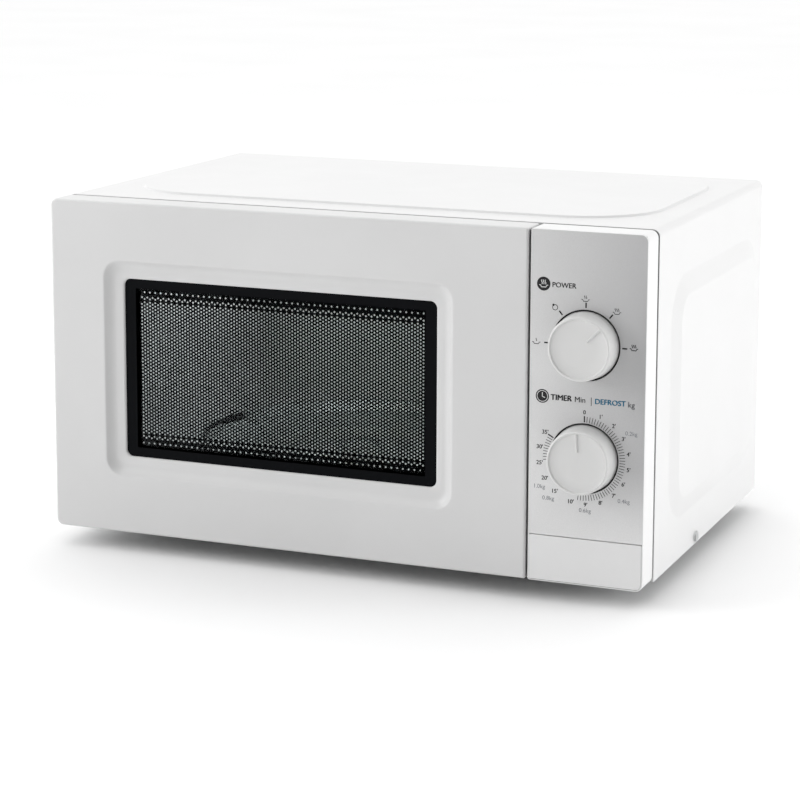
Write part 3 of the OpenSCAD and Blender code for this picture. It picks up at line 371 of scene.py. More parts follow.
def plastic(name, colour, rough=0.42, grain=2600, depth=0.00002, spread=0.02, strength=0.25):
    """Moulded plastic: fine spark-eroded grain, slow colour drift, a little rubbed gloss."""
    m = Nodes(name)
    drift = m.noise(9, 4)
    fine = m.noise(grain, 2)
    base = m.ramp(drift, [(0.35, tint(colour, 1 - spread)), (0.65, tint(colour, 1 + spread))])
    roughness = m.spread(m.noise(40, 5), rough - 0.04, rough + 0.05)
    normal = m.bump(fine, strength, depth)
    return m.surface(m.principled(base, roughness, normal))


def white_paint(name, colour):
    """Powder paint: soft orange peel under a smooth coat."""
    rough = 0.33
    m = Nodes(name)
    peel = m.noise(120, 1, 0.3)
    base = m.drift(colour, 6, 3, 0.985, 1.01)
    normal = m.bump(peel, 0.05, 0.00001)
    roughness = m.spread(m.noise(25, 4), rough - 0.03, rough + 0.05)
    return m.surface(m.principled(base, roughness, normal, Coat_Weight=0.15, Coat_Roughness=0.12))


def enamel(name, colour):
    """Cavity enamel: glossy, with fine darker speckles."""
    m = Nodes(name)
    speck = m.cells(900)
    near = m.spread(speck.outputs["Distance"], 1.0, 0.0, 0.12, 0.22)
    drift = m.drift(colour, 7, 3, 0.96, 1.03)
    base = m.mix(m.spread(near, 0.0, 0.28, 0.0, 1.0), drift, tint(colour, 0.45))
    normal = m.bump(m.noise(240, 2), 0.15, 0.00005)
    return m.surface(m.principled(base, m.spread(m.noise(30, 3), 0.17, 0.25), normal))


def zinc(name, colour):
    """Zinc-plated sheet: spangle cells and fine rolling lines."""
    rough = 0.38
    m = Nodes(name)
    cells = m.cells(180)
    grey = m.add("ShaderNodeSeparateColor")
    m.link(cells.outputs["Color"], grey.inputs["Color"])
    base = m.ramp(grey.outputs["Red"], [(0.0, tint(colour, 0.86)), (1.0, tint(colour, 1.1))])
    lines = m.noise(900, 2, 0.5, (1, 1, 0.04))
    normal = m.bump(lines, 0.12, 0.00002)
    roughness = m.spread(grey.outputs["Green"], rough - 0.07, rough + 0.07, 0, 1)
    return m.surface(m.principled(base, roughness, normal, Metallic=0.9))


def metal(name, colour, rough, stretch=(1, 1, 1), metallic=1.0, scale=700):
    """Bare or varnished metal with fine drawn-out marks."""
    m = Nodes(name)
    base = m.drift(colour, 14, 4, 0.9, 1.06)
    normal = m.bump(m.noise(scale, 3, 0.5, stretch), 0.2, 0.00002)
    roughness = m.spread(m.noise(50, 4), rough - 0.06, rough + 0.08)
    return m.surface(m.principled(base, roughness, normal, Metallic=metallic))


def clear_glass(name, tint_colour, gloss=0.02, clear=0.9):
    """Thin clear sheet with an anti-glare coat: it mirrors only where it is seen at a slant."""
    m = Nodes(name)
    smear = m.noise(12, 4)
    through = m.add("ShaderNodeBsdfTransparent")
    m.link(m.ramp(smear, [(0.3, tint(tint_colour, clear)), (0.7, tint(tint_colour, clear * 1.04))]),
           through.inputs["Color"])
    sheen = m.add("ShaderNodeBsdfGlossy")
    m.link(m.spread(smear, gloss, gloss + 0.04), sheen.inputs["Roughness"])
    sheen.inputs["Color"].default_value = (1, 1, 1, 1)
    fresnel = m.add("ShaderNodeFresnel", IOR=1.45)
    coat_loss = 0.036
    mixer = m.add("ShaderNodeMixShader")
    m.link(m.spread(fresnel.outputs[0], 0.0, 1.0, coat_loss, 1.0), mixer.inputs[0])
    m.link(through.outputs[0], mixer.inputs[1])
    m.link(sheen.outputs[0], mixer.inputs[2])
    return m.surface(mixer)


def solid_glass(name, colour):
    """Pressed clear glass with a slight ripple."""
    rough = 0.03
    m = Nodes(name)
    ripple = m.bump(m.noise(60, 2), 0.1, 0.0001)
    base = m.drift(colour, 10, 3, 0.97, 1.0)
    roughness = m.spread(m.noise(35, 4), rough, rough + 0.05)
    node = m.principled(base, roughness, ripple, Transmission_Weight=1.0, IOR=1.47)
    return m.surface(node)


def silver_sheet(name):
    """Printed satin face sheet with fine metallic flecks; its colour holds a painted reflection, darker
    towards its outer edge.
    """
    m = Nodes(name)
    split = m.add("ShaderNodeSeparateXYZ")
    m.link(m.coords, split.inputs[0])
    across = m.spread(split.outputs["X"], 0.0, 1.0, PX0 * 0.001, PX1 * 0.001)
    up = m.spread(split.outputs["Z"], 0.0, 1.0, Z0 * 0.001, Z1 * 0.001)
    # Painted reflection: the inner and outer shades stand in for dark surroundings mirrored in the satin,
    # darkest a little above the middle on the outer side.
    inner = m.ramp(up, [(0.1, (0.74,) * 3), (0.95, (0.64,) * 3)])
    outer = m.ramp(up, [(0.12, (0.76, 0.76, 0.76)), (0.34, (0.50, 0.50, 0.505)), (0.62, (0.42, 0.42, 0.425)),
                        (0.95, (0.49, 0.49, 0.495))])
    base = m.mix(across, inner, outer)
    fleck = m.ramp(m.noise(5200, 2), [(0.35, (0.93,) * 3), (0.65, (1.06,) * 3)])
    colour = m.mix(1.0, base, fleck, "MULTIPLY")
    normal = m.bump(m.noise(3600, 2), 0.12, 0.00001)
    roughness = m.spread(m.noise(60, 3), 0.34, 0.42)
    return m.surface(m.principled(colour, roughness, normal, Metallic=0.25))


def ink(name, colour, rough=0.4, gloss=0.3):
    """Printed or painted colour with an uneven film."""
    m = Nodes(name)
    base = m.drift(colour, 1800, 2, 0.85, 1.2)
    roughness = m.spread(m.noise(300, 2), rough - 0.05, rough + 0.05)
    return m.surface(m.principled(base, roughness, None, Specular_IOR_Level=gloss))


def black_enamel(name):
    """Dull black coat on the perforated sheet."""
    m = Nodes(name)
    base = m.ramp(m.noise(60, 3), [(0.3, (0.003, 0.0035, 0.004)), (0.7, (0.006, 0.007, 0.008))])
    roughness = m.spread(m.noise(200, 3), 0.5, 0.62)
    normal = m.bump(m.noise(1500, 2), 0.1, 0.00001)
    return m.surface(m.principled(base, roughness, normal, Specular_IOR_Level=0.06))


def glowing(name, colour, strength):
    m = Nodes(name)
    lit = m.ramp(m.noise(80, 3), [(0.3, tint(colour, 0.9)), (0.7, colour)])
    node = m.principled(lit, 0.2, None, Emission_Strength=strength)
    m.link(lit, node.inputs["Emission Color"])
    return m.surface(node)


def make_materials():
    # Painted shade: the door, button and knob plastic is white like the housing's, set darker so that the
    # front faces read shaded.
    grey = (0.69, 0.69, 0.69)
    return {
        "case": white_paint("white_powder_paint", (0.75, 0.75, 0.75)),
        "front": plastic("white_front_plastic_painted_shade", grey, 0.40),
        "button": plastic("white_button_plastic_painted_shade", tint(grey, 1.13), 0.38),
        "white": plastic("white_panel_plastic", (0.82, 0.82, 0.82), 0.36),
        "knob": plastic("satin_knob_plastic_painted_shade", (0.68, 0.68, 0.675), 0.33, 3000),
        "overlay": silver_sheet("silver_sheet_painted_reflection"),
        "glass": clear_glass("window_glass_clear", (0.93, 0.95, 0.96)),
        "border": ink("black_glass_paint", (0.003, 0.0035, 0.0045), 0.5, 0.05),
        "screen": black_enamel("black_screen_enamel"),
        "enamel": enamel("cavity_enamel", (0.62, 0.63, 0.62)),
        "frame": enamel("front_plate_enamel", (0.60, 0.61, 0.60)),
        "choke": plastic("dark_choke_plastic", (0.035, 0.036, 0.038), 0.4),
        "zinc": zinc("zinc_plated_sheet", (0.62, 0.63, 0.63)),
        "mica": plastic("pressed_mica", (0.50, 0.41, 0.27), 0.5, 500, 0.00006, 0.1),
        "copper": metal("anode_copper", (0.75, 0.36, 0.20), 0.3),
        "aluminium": metal("mill_aluminium", (0.78, 0.79, 0.80), 0.3, (1, 1, 0.05)),
        "core": metal("varnished_laminations", (0.09, 0.085, 0.08), 0.45, (1, 0.02, 1), 0.6, 1500),
        "winding": metal("varnished_copper_wire", (0.45, 0.17, 0.06), 0.3, (0.3, 0.3, 6), 0.8, 900),
        "black": plastic("black_plastic", (0.018, 0.018, 0.02), 0.45),
        "rubber": plastic("black_rubber", (0.022, 0.022, 0.022), 0.7, 1500),
        "board": plastic("filter_board", (0.03, 0.14, 0.06), 0.4),
        "ivory": plastic("ivory_moulding", (0.66, 0.60, 0.46), 0.45),
        "grey": plastic("grey_duct_plastic", (0.30, 0.31, 0.32), 0.5),
        "natural": plastic("natural_white_plastic", (0.74, 0.73, 0.69), 0.42),
        "nylon": plastic("glass_filled_nylon", (0.06, 0.06, 0.065), 0.5),
        "tray": solid_glass("pressed_tray_glass", (0.95, 0.985, 0.975)),
        "film": clear_glass("clear_inner_film", (0.97, 0.98, 0.98), 0.05, 0.97),
        "bulb": glowing("lamp_bulb", (1.0, 0.93, 0.78), 6.0),
        "wire": metal("spring_wire", (0.55, 0.56, 0.57), 0.2),
        "ink_black": ink("black_print", (0.012, 0.012, 0.013)),
        "ink_blue": ink("blue_print", (0.02, 0.16, 0.27)),
        "ink_grey": ink("grey_print", (0.22, 0.23, 0.25)),
        # Painted shade for the gaps beside the door and round the knobs.
        "seam": ink("black_painted_shade_seam", (0.01, 0.01, 0.01), 0.6),
    }


# ---- case ----

# Raised fields: outline, corner radius, width of the slope round them, and height
SIDE_FIELD = dict(rect=(YF + 57.5, YB - 14, Z0 + 29, Z0 + 203), r=34, run=16, rise=3.4)
TOP_FIELD = dict(rect=(XL + 22.5, XR - 22.5, YF + 53.5, YB - 18), r=60, run=1.4, rise=1.45)


def s_curve(t):
    return t * t * (3 - 2 * t)


def pressed_edge(t):
    """Straight slope with a short bend at both ends, from 0 to 1."""
    bend = 0.12
    slope = 1 / (1 - bend)
    if t < bend:
        return slope * t * t / (2 * bend)
    if t > 1 - bend:
        return 1 - slope * (1 - t) ** 2 / (2 * bend)
    return slope * (t - bend / 2)


def between(p, q, t):
    return p[0] + (q[0] - p[0]) * t, p[1] + (q[1] - p[1]) * t


def frame_loop(outer, inner, r, arc, edge):
    """Points round a plain rectangle that face the points of round_loop on the inner one."""
    (p0, p1, q0, q1), (a0, a1, b0, b1) = outer, inner
    corners = [((p0, b1 - r), (p0, q1), (a0 + r, q1)), ((a1 - r, q1), (p1, q1), (p1, b1 - r)),
               ((p1, b0 + r), (p1, q0), (a1 - r, q0)), ((a0 + r, q0), (p0, q0), (p0, b0 + r))]
    points = []
    for i, (start, corner, end) in enumerate(corners):
        for k in range(arc + 1):
            t = 2 * k / arc
            points.append(between(start, corner, t) if t <= 1 else between(corner, end, t - 1))
        points += [between(end, corners[(i + 1) % 4][0], k / edge) for k in range(1, edge)]
    return points


def field_panel(name, outer, to_xyz, rect, r, run, rise):
    """Panel with a raised field; outer and rect are (a0, a1, b0, b1) in the panel's own plane."""
    a0, a1, b0, b1 = rect
    arc, edge = 14, 12
    flat = 0.6

    def level(inset, height):
        ring = round_loop(a0 + inset, a1 - inset, b0 + inset, b1 - inset, (r - inset,) * 4, arc, edge)
        return [to_xyz(a, b, height) for a, b in ring]

    loops = [[to_xyz(a, b, 0) for a, b in frame_loop(outer, rect, r, arc, edge)], level(-flat, 0)]
    for t in (0, 0.04, 0.08, 0.12, 0.5, 0.88, 0.92, 0.96, 1):
        loops.append(level(run * t, rise * pressed_edge(t)))
    loops.append(level(run + flat, rise))
    return loft(name, loops, cap_end=True, sharp_deg=60)


def bend_strip(name, side):
    """Quarter bend between the top and one side, with a narrow flat lap at both ends."""
    x_mid = side * (XR - CORNER)
    z_mid = Z1 - CORNER
    lap, under = 0.6, 0.03
    rows = [(x_mid - side * lap, Z1 - under)]
    for deg in [0, 0.5] + list(range(9, 90, 9)) + [89.5, 90]:
        a = radians(deg)
        rows.append((x_mid + side * CORNER * sin(a), z_mid + CORNER * cos(a)))
    rows.append((side * (XR - under), z_mid - lap))
    return loft(name, [[(x, YC, z), (x, YB, z)] for x, z in rows], sharp_deg=60, ring=False)


def face_outwards(obj, centre):
    """Turns every face away from the line through centre along Y."""
    bm = bmesh.new()
    bm.from_mesh(obj.data)
    for face in bm.faces:
        out = face.calc_center_median() - centre
        if face.normal.dot(Vector((out.x, 0, out.z))) < 0:
            face.normal_flip()
    bm.to_mesh(obj.data)
    bm.free()


def build_case(mats):
    """Painted wrapper: two sides and a top with raised fields, two bends, and a rear flange."""
    parts = []
    for side in (-1, 1):
        parts.append(field_panel("side", (YC, YB, Z0, Z1 - CORNER),
                                 lambda a, b, h, s=side: (s * (XR + h), a, b), **SIDE_FIELD))
        parts.append(bend_strip("bend", side))
    parts.append(field_panel("top", (XL + CORNER, XR - CORNER, YC, YB),
                             lambda a, b, h: (a, b, Z1 + h), **TOP_FIELD))
    skin = join("case_skin", parts)
    face_outwards(skin, Vector((0, 0.01, 0.1)))
    mod = skin.modifiers.new("sheet", "SOLIDIFY")
    mod.thickness = SHEET * 0.001
    mod.offset = -1
    flange, flange_r, hair = 12, 4, 0.03
    rear = strip_between("rear_flange", arch_points(SHEET - 0.05), arch_points(flange, flange_r),
                         YB - SHEET, YB - hair)
    skin = join("case_shell", [skin, rear])
    smooth(skin, 60)
    place(skin, "chassis", mats["case"], "case_paint", "outer_case")


def arch_points(inset, corner=None):
    """Points up the left side, over the top and down the right side, laid in by inset."""
    steps = 8
    r = max(CORNER - inset, 1.0) if corner is None else corner
    x, z = XR - inset, Z1 - inset
    points = [(-x, Z0)]
    for middle, start in ((-x + r, 180), (x - r, 90)):
        for k in range(steps + 1):
            a = radians(start - 90 * k / steps)
            points.append((middle + r * cos(a), z - r + r * sin(a)))
    points.append((x, Z0))
    return points


def strip_between(name, outer, inner, y0, y1):
    """Plate from y0 to y1 between two lines that have the same number of points."""
    n = len(outer)
    verts = [(x, y, z) for y in (y0, y1) for line in (outer, inner) for x, z in line]
    faces = []
    for k in range(n - 1):
        faces.append((k, k + 1, n + k + 1, n + k))
        faces.append((2 * n + k, 3 * n + k, 3 * n + k + 1, 2 * n + k + 1))
        faces.append((k, 2 * n + k, 2 * n + k + 1, k + 1))
        faces.append((n + k, n + k + 1, 3 * n + k + 1, 3 * n + k))
    for k in (0, n - 1):
        faces.append((k, n + k, 3 * n + k, 2 * n + k))
    return link_mesh(name, verts, faces, 30)


# ---- front mouldings ----

FILLET = 1.8
LIP_R = 1.5
DIAL_HOLE_R = 24.2
KNOB_BASE_R = 22.9


def rounded_rim(rect, radii, fillet, steps, least=0.15):
    """Loops over a rounded front edge, from the side wall onto the flat face."""
    loops = []
    for k in range(steps + 1):
        a = radians(90 * k / steps)
        inset, depth = fillet * (1 - cos(a)), fillet * (1 - sin(a))
        loops.append(inset_ring(rect, radii, inset, YF + depth, least))
    return loops


def sunk_profile():
    """(distance out from the opening, depth) down the sunk ring: edge, curved slope, lip."""
    slope_out, slope_top = RING - 0.9, 0.45
    slope_run, slope_drop, curve, steps = 8.6, 4.35, 2.6, 11
    profile = [(RING + 0.7, 0.0), (RING + 0.2, 0.0), (RING - 0.4, 0.12), (slope_out, slope_top)]
    for k in range(1, steps + 1):
        t = k / steps
        profile.append((slope_out - slope_run * t, slope_top + slope_drop * (1 - (1 - t) ** curve)))
    lip_top, lip_steps = 5.12, 6
    profile += [(3.4, 4.95), (LIP_R + 0.3, 5.1)]
    for k in range(lip_steps + 1):
        a = radians(90 / lip_steps * k)
        profile.append((LIP_R * (1 - sin(a)), lip_top + LIP_R * (1 - cos(a))))
    profile.append((0.0, YG - YF))
    return profile


def build_door_frame(mats):
    """Door moulding: rounded shell with a sunk ring, hinge slots and bosses."""
    wall = 2.4
    rect = (DX0, DX1 - SPLIT_EASE, Z0, Z1)
    radii = (CORNER, SPLIT_R, SPLIT_R, CORNER)
    loops = [inset_ring(rect, radii, 0, SEAM_FRONT)] + rounded_rim(rect, radii, FILLET, 6)
    loops.append(inset_ring(rect, radii, FILLET + 0.5, YF))
    hole = (WX - WIN_W / 2, WX + WIN_W / 2, WZ - WIN_H / 2, WZ + WIN_H / 2)

    def sunk(out, y, r):
        return ring_xz(hole[0] - out, hole[1] + out, hole[2] - out, hole[3] + out, (r,) * 4, y)

    opening_r, ring_r = 5.0, 13
    for out, depth in sunk_profile():
        loops.append(sunk(out, YF + depth, opening_r + 8.0 * (out / RING) ** 1.3))
    back = RING + 3
    loops += [sunk(back, y, ring_r) for y in (YG, YF + wall)]
    loops += [inset_ring(rect, radii, wall, y) for y in (YF + wall, SEAM_FRONT)]
    shell = loft("door_shell", loops, closed=True, sharp_deg=40)
    arm_reach, arm_t = 11.8, 3.2
    slots = [block("slot", DX0 - 2, DX0 + arm_reach, YM - 18, YM + 2, z, z + arm_t)
             for z in (Z0 + 10.8, Z1 - 14.0)]
    shell = cut(shell, slots)
    boss_h = 15
    bosses = [block("boss", DX0 + 1.2, DX0 + arm_reach, YM - 15.6, YM - 2, z, z + boss_h, 0.4)
              for z in (Z0 + 14.0, Z1 - 29.0)]
    door = join("door_moulding", [shell] + bosses)
    smooth(door, 40)
    place(door, "door", mats["front"], "front_plastic", "door_frame")


def build_window(mats):
    """Glass with ground edges, and the black border round the holes of the screen behind it."""
    rect = (GX0, GX1, GZ0, GZ1)
    radii = (6,) * 4
    ground = 0.4
    loops = [inset_ring(rect, radii, inset, y)
             for inset, y in ((ground, YS), (0, YS - ground), (0, YG + ground), (ground, YG))]
    glass = loft("window_pane", loops, cap_start=True, cap_end=True, sharp_deg=30)
    place(glass, "door", mats["glass"], "window_glass", "window_glass")
    margin, inset, film = 3, 0.6, 0.03
    half_w, half_h = FIELD_W / 2 + margin, FIELD_H / 2 + margin
    inner = (WX - half_w, WX + half_w, WZ - half_h, WZ + half_h)
    edge = (GX0 + inset, GX1 - inset, GZ0 + inset, GZ1 - inset)
    y = YG - 0.06
    loops = [ring_xz(*edge, (5,) * 4, y), ring_xz(*inner, (1,) * 4, y),
             ring_xz(*inner, (1,) * 4, y + film), ring_xz(*edge, (5,) * 4, y + film)]
    border = loft("glass_border", loops, closed=True, sharp_deg=30)
    place(border, "door", mats["border"], "window_glass")


# The screen's holes stand in columns, every second column half a pitch lower
HOLE_R = 0.65
HOLE_PITCH = 2.48
COLUMN_W = HOLE_PITCH * sqrt(3) / 2
COLUMNS = 102
HALF_ROWS = 90
CLOSED_ROWS = (1, 2, 5)
FIELD_W = (COLUMNS - 1) * COLUMN_W
FIELD_H = (HALF_ROWS - 1) * HOLE_PITCH / 2


def build_screen(mats):
    """Sheet with staggered round holes; a few rows near two of its edges are left shut."""
    y = YS + 0.45
    sides = 12
    half_w, half_h = COLUMN_W / 2, HOLE_PITCH / 2
    verts, faces = [], []

    def plain(x0, x1, z0, z1):
        base = len(verts)
        verts.extend([(x0, y, z0), (x1, y, z0), (x1, y, z1), (x0, y, z1)])
        faces.append((base, base + 1, base + 2, base + 3))

    def holed(cx, cz):
        """One rectangle of sheet with a round hole in it."""
        base = len(verts)
        for k in range(sides):
            a = tau * (k + 0.5) / sides
            ca, sa = cos(a), sin(a)
            reach = min(half_w / abs(ca), half_h / abs(sa))
            verts.append((cx + reach * ca, y, cz + reach * sa))
            verts.append((cx + HOLE_R * ca, y, cz + HOLE_R * sa))
        for k in range(sides):
            a, b = base + 2 * k, base + 2 * ((k + 1) % sides)
            faces.append((a, b, b + 1, a + 1))
        for sx, sz in ((1, 1), (-1, 1), (-1, -1), (1, -1)):
            angle = atan2(sz * half_h, sx * half_w) % tau
            k = int(angle / tau * sides - 0.5) % sides
            verts.append((cx + sx * half_w, y, cz + sz * half_h))
            faces.append((base + 2 * k, len(verts) - 1, base + 2 * ((k + 1) % sides)))

    x_first, z_top = WX - FIELD_W / 2, WZ + FIELD_H / 2
    for i in range(COLUMNS):
        x = x_first + i * COLUMN_W
        for j in range(HALF_ROWS):
            if (i + j) % 2 == 0:
                continue
            z = z_top - j * half_h
            if j in CLOSED_ROWS or HALF_ROWS - 1 - j in CLOSED_ROWS:
                plain(x - half_w, x + half_w, z - half_h, z + half_h)
            else:
                holed(x, z)
        if i % 2:
            plain(x - half_w, x + half_w, z_top - HALF_ROWS * half_h, z_top - (HALF_ROWS - 1) * half_h)
        else:
            plain(x - half_w, x + half_w, z_top, z_top + half_h)
    x0, x1 = x_first - half_w, x_first + FIELD_W + half_w
    z0, z1 = z_top - HALF_ROWS * half_h, z_top + half_h
    plain(GX0, x0, GZ0, GZ1)
    plain(x1, GX1, GZ0, GZ1)
    plain(x0, x1, GZ0, z0)
    plain(x0, x1, z1, GZ1)
    mesh = bpy.data.meshes.new("screen_sheet")
    mesh.from_pydata([mm(v) for v in verts], [], faces)
    place(add_object("screen_sheet", mesh), "door", mats["screen"], "screen_steel", "door_screen")


def dial_cutters(depth):
    """Cutters for the two dial openings, reaching depth behind the front face."""
    return [lathe("dial_cut", [(DIAL_HOLE_R, -depth), (DIAL_HOLE_R, 3)], (KX, YF, z)) for z in (PZ, TZ)]


def build_panel_housing(mats):
    """White housing: side walls, rounded rim, dial cups, and an opening for the button."""
    wall, lip, fillet = 1.65, 0.75, 0.5
    rect = (PX0 + SPLIT_EASE, PX1, Z0, Z1)
    radii = (SPLIT_R, CORNER, CORNER, SPLIT_R)
    loops = [inset_ring(rect, radii, 0, SEAM_FRONT)] + rounded_rim(rect, radii, fillet, 4)
    for inset, y in ((lip, YF + 0.02), (lip, YF + 8), (wall, YF + 9), (wall, SEAM_FRONT)):
        loops.append(inset_ring(rect, radii, inset, y))
    shell = loft("housing_shell", loops, closed=True, sharp_deg=40)
    face_y = YF + 0.6
    low = BUTTON[1][2] + 0.6
    front = block("front_wall", PX0 + 0.8, PX1 - 0.8, face_y, face_y + 2.2, low, Z1 - 1)
    shelf = block("shelf", PX0 + 1, PX1 - 1, face_y + 1, YF + 12, low, BUTTON[1][2] + 2.2)
    cups = [lathe("cup", [(26.6, -5.2), (26.6, -0.6)], (KX, YF, z), 72) for z in (PZ, TZ)]
    bored = [cut(piece, dial_cutters(3.6)) for piece in [front] + cups]
    posts = [lathe("post", [(3.5, YF - YC), (3.5, -1.6)], (x, YF, z), 24)
             for x in (PX0 + 7, PX1 - 13) for z in (Z0 + 42, Z1 - 18)]
    housing = join("panel_housing", [shell, shelf] + bored + posts)
    smooth(housing, 40)
    place(housing, "chassis", mats["white"], "white_plastic", "control_panel")


def build_gasket(mats):
    """Painted shade: a dark strip between the panel housing and the case, deeper set towards the floor, where
    the seam is in shadow.
    """
    rect = (PX0, PX1, Z0, Z1)
    radii = (SPLIT_R, CORNER, CORNER, SPLIT_R)
    taper = 0.9 / (Z1 - Z0)

    def ring(inset, y):
        return [(x - taper * (Z1 - z) if x > KX else x, y, z)
                for x, _, z in inset_ring(rect, radii, inset, y)]

    outer, inner = 0.3, 3.5
    front, rear = SEAM_FRONT + 0.05, YC - 0.05
    loops = [ring(outer, front), ring(outer, rear), ring(inner, rear), ring(inner, front)]
    # The choke cover's dark plastic, used here as painted shade in the seam.
    place(loft("panel_seam_painted_shade", loops, closed=True, sharp_deg=40), "chassis", mats["choke"], "choke_plastic")


def build_seals(mats):
    """Painted shade: a black strip beside the door and a black ring round each knob, set in those gaps where
    shadow falls.
    """
    strip = block("strip", PX0 - 0.7, PX0 + 0.18, YF + 1.6, YM - 1.5, Z0 + 1.5, Z1 - 1.5)
    r_in, r_out, front, rear = KNOB_BASE_R + 0.3, DIAL_HOLE_R - 0.05, -0.75, -2.0
    ring = [(r_in, rear), (r_in, front), (r_out, front), (r_out, rear)]
    rings = [loft("ring", turned_loops(ring, (KX, YF, z), 96), closed=True, sharp_deg=40) for z in (PZ, TZ)]
    place(join("black_painted_shade_seals", [strip] + rings), "chassis", mats["seam"], "choke_plastic")


def build_overlay(mats):
    """Face sheet with two round openings, reaching the housing's rounded rim."""
    rim, edge, thick = 0.35, 0.12, 0.5
    rect = (PX0 + rim, PX1 - rim, BUTTON[1][2] + 0.5, Z1 - rim)
    radii = (0.8, CORNER - rim, 0.4, 0.4)
    y_front = YF - 0.02
    loops = [inset_ring(rect, radii, inset, y_front + depth)
             for inset, depth in ((0, thick), (0, edge), (edge, 0))]
    sheet = loft("sheet", loops, cap_start=True, cap_end=True, sharp_deg=50)
    sheet = cut(sheet, dial_cutters(3))
    sheet.name = "face_sheet"
    place(sheet, "chassis", mats["overlay"], "overlay_silver", "panel_overlay")


def build_button(mats):
    """Release button: rounded plate, four walls behind it, and the bar that pushes the lever."""
    (x0, _, z0), (_, y1, z1) = BUTTON
    wall, rim, fillet, least = 2.0, 0.95, 0.5, 0.1
    rect = (PX0 + rim, PX1 - rim, Z0 + rim, z1)
    radii = (0.8, 0.8, CORNER - rim, 0.8)
    plate_y = YF + 2.4
    loops = [inset_ring(rect, radii, wall, plate_y), inset_ring(rect, radii, 0, plate_y)]
    loops += rounded_rim(rect, radii, fillet, 4, least)
    loops.append(inset_ring(rect, radii, fillet + 0.4, YF, least))
    plate = loft("plate", loops, cap_start=True, cap_end=True, sharp_deg=50)
    left, right, low, high = rect[0] + 3, rect[1] - 8, z0 + 3, z1 - 5
    skirt = [block("skirt", xa, xb, YF + 2, YF + 14, za, zb, 0.2)
             for xa, xb, za, zb in ((left, rect[0] + 5, low, high), (rect[1] - 10, right, low, high),
                                    (left, right, low, z0 + 5), (left, right, z1 - 7, high))]
    push_z = Z0 + 25
    bar = [block("bar", PX0 + 6, PX0 + 10, YF + 2, y1, push_z - 3, push_z + 3, 0.3),
           block("bar", x0, PX0 + 10, y1 - 2.1, y1, push_z - 1, push_z + 1, 0.2)]
    button = join("door_button", [plate] + skirt + bar)
    smooth(button, 50)
    place(button, "button", mats["button"], "front_plastic", "release_button")


# ---- knobs ----

# Height of the knob's sunk face over the front face
FACE_HEIGHT = 13.9


def knob_profile():
    """(radius, height over the front face) from the rear rim to the middle of the sunk face."""
    base, base_r = -2.9, KNOB_BASE_R
    points = [(3.2, base), (base_r - 0.7, base), (base_r - 0.1, base + 0.5), (base_r, base + 1.2),
              (base_r, 0.0)]
    top, shoulder, r_top = 14.9, 1.5, 21.8
    for k in range(1, 7):
        t = k / 6
        points.append((base_r + (r_top - base_r) * t, (top - shoulder) * t))
    for k in range(1, 9):
        a = radians(90 * k / 8)
        points.append((r_top - shoulder * (1 - cos(a)), top - shoulder * (1 - sin(a))))
    inner = r_top - shoulder
    for k in range(1, 7):
        t = k / 6
        points.append((inner - 0.9 * t, top - (top - FACE_HEIGHT) * s_curve(t)))
    points += [(12.0, FACE_HEIGHT), (5.0, FACE_HEIGHT), (0.5, FACE_HEIGHT)]
    return points


def pointer_ridge(x, z, turn_deg):
    """Slim rounded ridge from the rim towards the middle."""
    half, r_in, r_out = 0.9, 7.6, 20.6
    foot, crest = FACE_HEIGHT - 0.3, 14.97
    lengthwise = [(r_in - 0.4, 0.0), (r_in, 0.8), (r_in + 1.0, 1.0),
                  (r_out - 0.6, 1.0), (r_out, 0.8), (r_out + 0.5, 0.0)]
    across = [(-1.0, 0.0), (-0.8, 0.6), (-0.4, 0.96), (0.4, 0.96), (0.8, 0.6), (1.0, 0.0)]
    a = radians(turn_deg)
    rows = []
    for r, rise in lengthwise:
        row = []
        for side, lift in across:
            w = side * half
            row.append((x + r * sin(a) + w * cos(a), YF - foot - (crest - foot) * rise * lift,
                        z + r * cos(a) - w * sin(a)))
        rows.append(row)
    return loft("ridge", rows, cap_start=True, cap_end=True, sharp_deg=50, ring=False)


def build_knob(name, node, body, z, turn, mats):
    """One dial, its pointer turn degrees clockwise from the top."""
    turned = lathe("turned", knob_profile(), (KX, YF, z), 128, 50)
    knob = join(name, [turned, pointer_ridge(KX, z, turn)])
    smooth(knob, 50)
    place(knob, body, mats["knob"], "knob_plastic", node)


# ---- springs ----

# Each spring's joint, and the number of the axis that it lies along
SPRINGS = {"button_spring": ("button_press", 1), "latch_spring": ("latch_lift", 2)}


def build_springs(mats):
    """The two coil springs, each a copy of its CAD mesh on the body that holds it."""
    behaviour = frame["record"]["behaviour"]
    for node, (joint, axis) in SPRINGS.items():
        source = bpy.data.objects[node]
        spring = add_object(joint + "_coil", source.data.copy())
        spring.matrix_world = source.matrix_world.copy()
        body = next(name for name, nodes in behaviour["bodies"].items() if node in nodes)
        place(spring, body, mats["wire"], "spring_steel", node)
        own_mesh(spring)


# ---- printing on the face sheet ----

PRINT_Y = YF - 0.09
PRINT_THICK = 0.06


def flat_shape(name, outlines, y=PRINT_Y):
    """Flat shape in the face sheet's plane, PRINT_THICK thick, from closed outlines of (x, z)."""
    verts, faces = [], []
    for line in outlines:
        base = len(verts)
        n = len(line)
        verts += [(x, y, z) for x, z in line] + [(x, y + PRINT_THICK, z) for x, z in line]
        faces.append(tuple(base + k for k in range(n)))
        faces.append(tuple(base + n + k for k in reversed(range(n))))
        faces += [(base + k, base + (k + 1) % n, base + n + (k + 1) % n, base + n + k) for k in range(n)]
    return link_mesh(name, verts, faces, 30)


